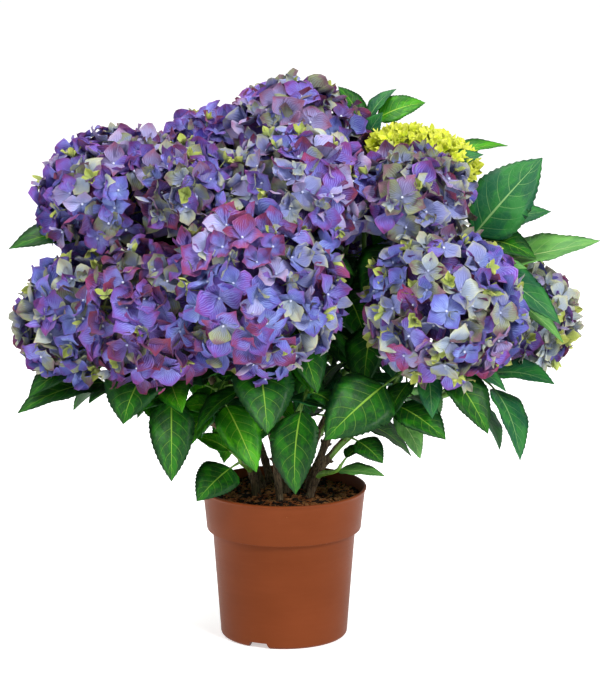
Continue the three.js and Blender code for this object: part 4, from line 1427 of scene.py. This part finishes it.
def make_pot():
    """A thin moulded pot: foot ring with notches, tapering body, lip band and rounded rim."""
    floor, top = FOOT_Z + FLOOR, POT_HEIGHT
    groove = BASE_R - CORNER - FOOT_RING
    profile = [
        (2, 0), (PAD_R - 0.6, 0), (PAD_R, 0.5), (PAD_R + 2, FOOT_Z), (groove, FOOT_Z),
        (groove + 2, 0.5), (groove + 2.5, 0),
        *arc(BASE_R - CORNER, CORNER, CORNER, range(-90, 1, 15)),
        (mix(BASE_R, BODY_TOP_R, 0.5), mix(CORNER, LIP_Z, 0.5)),
        (BODY_TOP_R, LIP_Z - 2), (BODY_TOP_R + 0.5, LIP_Z - 0.6), (BODY_TOP_R + 1.6, LIP_Z),
        (LIP_LOW_R - 1.4, LIP_Z), (LIP_LOW_R - 0.4, LIP_Z + 0.4), (LIP_LOW_R, LIP_Z + 1.4),
        (mix(LIP_LOW_R, LIP_TOP_R, 0.5), mix(LIP_Z, top, 0.5)), (LIP_TOP_R, top - 5),
        (LIP_TOP_R + 0.5, top - 3.4),
        *arc(RIM_R - RIM_BEAD, top - RIM_BEAD, RIM_BEAD, range(-60, 91, 25)),
        (LIP_TOP_R - WALL + 0.9, top), (LIP_TOP_R - WALL, top - 1.2), (LIP_LOW_R - WALL, LIP_Z + 3),
        (BODY_TOP_R - WALL, LIP_Z - 0.5), (BASE_R - WALL + 0.6, floor + 4.5),
        (BASE_R - WALL - 3, floor), (2, floor),
    ]
    pot = started(
        bpy.ops.mesh.primitive_circle_add, vertices=POT_SIDES, radius=profile[0][0] * MM,
        fill_type="NGON",
    )
    pot.name = "nursery_pot"
    bpy.ops.mesh.select_mode(type="EDGE")
    drawn_out(profile, bpy.ops.mesh.extrude_edges_move)
    bpy.ops.mesh.edge_face_add()
    bpy.ops.mesh.select_all(action="SELECT")
    bpy.ops.mesh.normals_make_consistent(inside=False)
    bpy.ops.object.mode_set(mode="OBJECT")
    for i in range(NOTCHES):
        cutter = started(bpy.ops.mesh.primitive_cube_add, size=1)
        widen(x=NOTCH_DEPTH * MM, y=NOTCH_LOW * MM, z=(FOOT_Z + 1) * MM)
        move(x=(BASE_R - 2) * MM, z=(FOOT_Z - 1) / 2 * MM)
        pick(cutter.data, lambda v: v.co.z > 0.001)
        widen(y=NOTCH_TOP / NOTCH_LOW)
        bpy.ops.object.mode_set(mode="OBJECT")
        cutter.rotation_euler.z = math.radians(NOTCH_TURN + i * 360 / NOTCHES)
        cut = pot.modifiers.new("notch", "BOOLEAN")
        cut.operation, cut.solver, cut.object = "DIFFERENCE", "EXACT", cutter
        bpy.context.view_layer.objects.active = pot
        bpy.ops.object.modifier_apply(modifier="notch")
        bpy.data.objects.remove(cutter)
    bpy.ops.object.select_all(action="DESELECT")
    pot.select_set(True)
    bpy.ops.object.shade_smooth_by_angle(angle=math.radians(34))
    put_in(pot, [pot_look()], "pot", ["pot"])


# ---- putting the plant together -------------------------------------------------------------

OPEN_SHAPES = dict(  # cup, curl, wave, width and crease
    saucer=(0.22, 0.3, 0.05),
    flat=(0.02, 0.6, 0.06, 1.04, 0.08),
    wavy=(0.12, 0.1, 0.12, 0.98, 0.03),
    cupped=(0.45, 0.7, 0.06, 0.92, 0.1),
    broad=(0.06, 1.2, 0.08, 1.1),
    crimped=(0.3, 0.0, 0.14, 0.9, 0.12),
    folded=(0.1, 0.4, 0.05, 0.84, 0.2),
    hooked=(0.2, 1.7, 0.07, 0.96, 0.04),
    turned_up=(-0.05, -0.7, 0.09, 1.0, 0.06),
)
YOUNG_SHAPES = dict(broad=(0.45, 0.2, 0.06, 0.7, 0.12), slim=(0.2, 0.5, 0.1, 0.6, 0.08))
OPEN_FORMS = [petal_form(*shape) for shape in OPEN_SHAPES.values()]
YOUNG_FORMS = [petal_form(*shape) for shape in YOUNG_SHAPES.values()]


def make_flowers():
    florets = grow_heads()
    heads = [name for name in nodes_like("flowers_") if name != "flowers_lime"]
    for look, material in PETAL_LOOKS.items():
        heap = Heap()
        for (which, form), petals in florets.petals.items():
            if which == look:
                turns, places, kinds = zip(*petals)
                heap.stamp(form, turns, places, kinds=kinds)
        nodes, slot = (["flowers_lime"], "young_petals") if look == "lime" else (heads, "petals")
        new_piece(f"petals_{look}", heap, [material], slot, nodes)
    new_piece("flower_stalks", florets.stalks, [stalk_look()], "leaves")
    heap = Heap()
    middles, facings = zip(*florets.beads)
    turns = np.array([np.stack([*square_to(f), f], 1) for f in facings]) * EYE_R
    heap.stamp(bead_form(), turns, middles)
    new_piece("floret_buds", heap, [bead_look()], "petals")


def make_greenery():
    """Stems and leaves of all shoots."""
    stems, limbs, heads = Heap(), [], []
    for plan in CANES.values():
        at, _ = cane_line(plan)
        limbs.append(("", np.array([at(t) for t in np.linspace(0, 1, 30)]), CANE_ROOM))
    for name, plan in SHOOTS.items():
        line, bloom = shoot_line(plan), head_of(plan)
        heads += [bloom] if bloom else []
        shares = np.linspace(0, 1, SHOOT_POINTS)
        points = np.array([line(t) for t in shares])
        joints = np.array([single["at"] for single in plan["leaves"]] + pair_shares(plan))
        knots = np.exp(-(((shares[:, None] - joints) * 20) ** 2)).max(1, initial=0)
        tip_r = SHOOT_TIP_R if bloom else SPRAY_TIP_R
        radii = np.linspace(SHOOT_FOOT_R, tip_r, SHOOT_POINTS) * (1 + 0.22 * knots)
        tube(stems, points, radii, SHOOT_SIDES)
        limbs.append((name, points, SHOOT_ROOM))
    fine = two_sided(leaf_form(*FINE_BLADE, 0.018, 0.06), *FINE_BLADE)
    coarse = leaf_form(*COARSE_BLADE, 0.0, 0.06)
    heaps = grow_leaves(Room(heads, limbs), (fine, coarse), stems)
    for look, heap in heaps.items():
        new_piece(f"leaves_{look}", heap, LEAF_LOOKS[look], "leaves", nodes_like("shoot_"))
    new_piece("green_stems", stems, [stem_look()], "leaves")


make_pot()
litter_soil(make_soil())
make_canes()
make_greenery()
make_flowers()


# ---- floor, light and camera ----------------------------------------------------------------

LAMPS_FACE = (0, 0, 0.35)


def make_stage():
    bpy.ops.object.select_all(action="DESELECT")
    bpy.ops.mesh.primitive_plane_add(size=60, location=(0, 0, 0))
    floor = bpy.context.object
    floor.name = "floor"
    look = Look("floor_white", 0.9, 0.1)
    look.surface["Emission Color"].default_value = (1, 1, 1, 1)
    look.surface["Emission Strength"].default_value = 0.5
    floor.data.materials.append(look.done((0.86, 0.86, 0.86, 1)))
    world = bpy.data.worlds.new("studio")
    world.use_nodes = True
    sky = world.node_tree.nodes["Background"].inputs
    sky[0].default_value, sky[1].default_value = (1, 1, 1, 1), 0.5
    bpy.context.scene.world = world
    for name, place, size, watts in (
        ("key", (1.7, -2.2, 2.2), 1.0, 98),
        ("fill", (-1.6, -1.9, 2.8), 1.2, 40),
        ("crown", (-0.6, 0.6, 2.6), 1.2, 42),
    ):
        light = bpy.data.lights.new(name, "AREA")
        light.energy, light.size = watts, size
        lamp = bpy.data.objects.new(name, light)
        lamp.location = place
        toward_plant = Vector(LAMPS_FACE) - lamp.location
        lamp.rotation_euler = toward_plant.to_track_quat("-Z", "Y").to_euler()
        bpy.context.collection.objects.link(lamp)


CAMERA_TARGET = Vector((0.0165, 0.0, 0.3))
CAMERA_RISE = math.radians(13)
CAMERA_AWAY = 4.45
CAMERA_LENS = 224


def make_camera():
    data = bpy.data.cameras.new("camera")
    data.lens, data.sensor_width = CAMERA_LENS, 36
    data.clip_end = 100
    camera = bpy.data.objects.new("camera", data)
    offset = Vector((0, -math.cos(CAMERA_RISE), math.sin(CAMERA_RISE))) * CAMERA_AWAY
    camera.location = CAMERA_TARGET + offset
    camera.rotation_euler = (-offset).to_track_quat("-Z", "Y").to_euler()
    bpy.context.collection.objects.link(camera)
    bpy.context.scene.camera = camera


make_stage()
make_camera()
bpy.context.scene.view_settings.view_transform = "Standard"
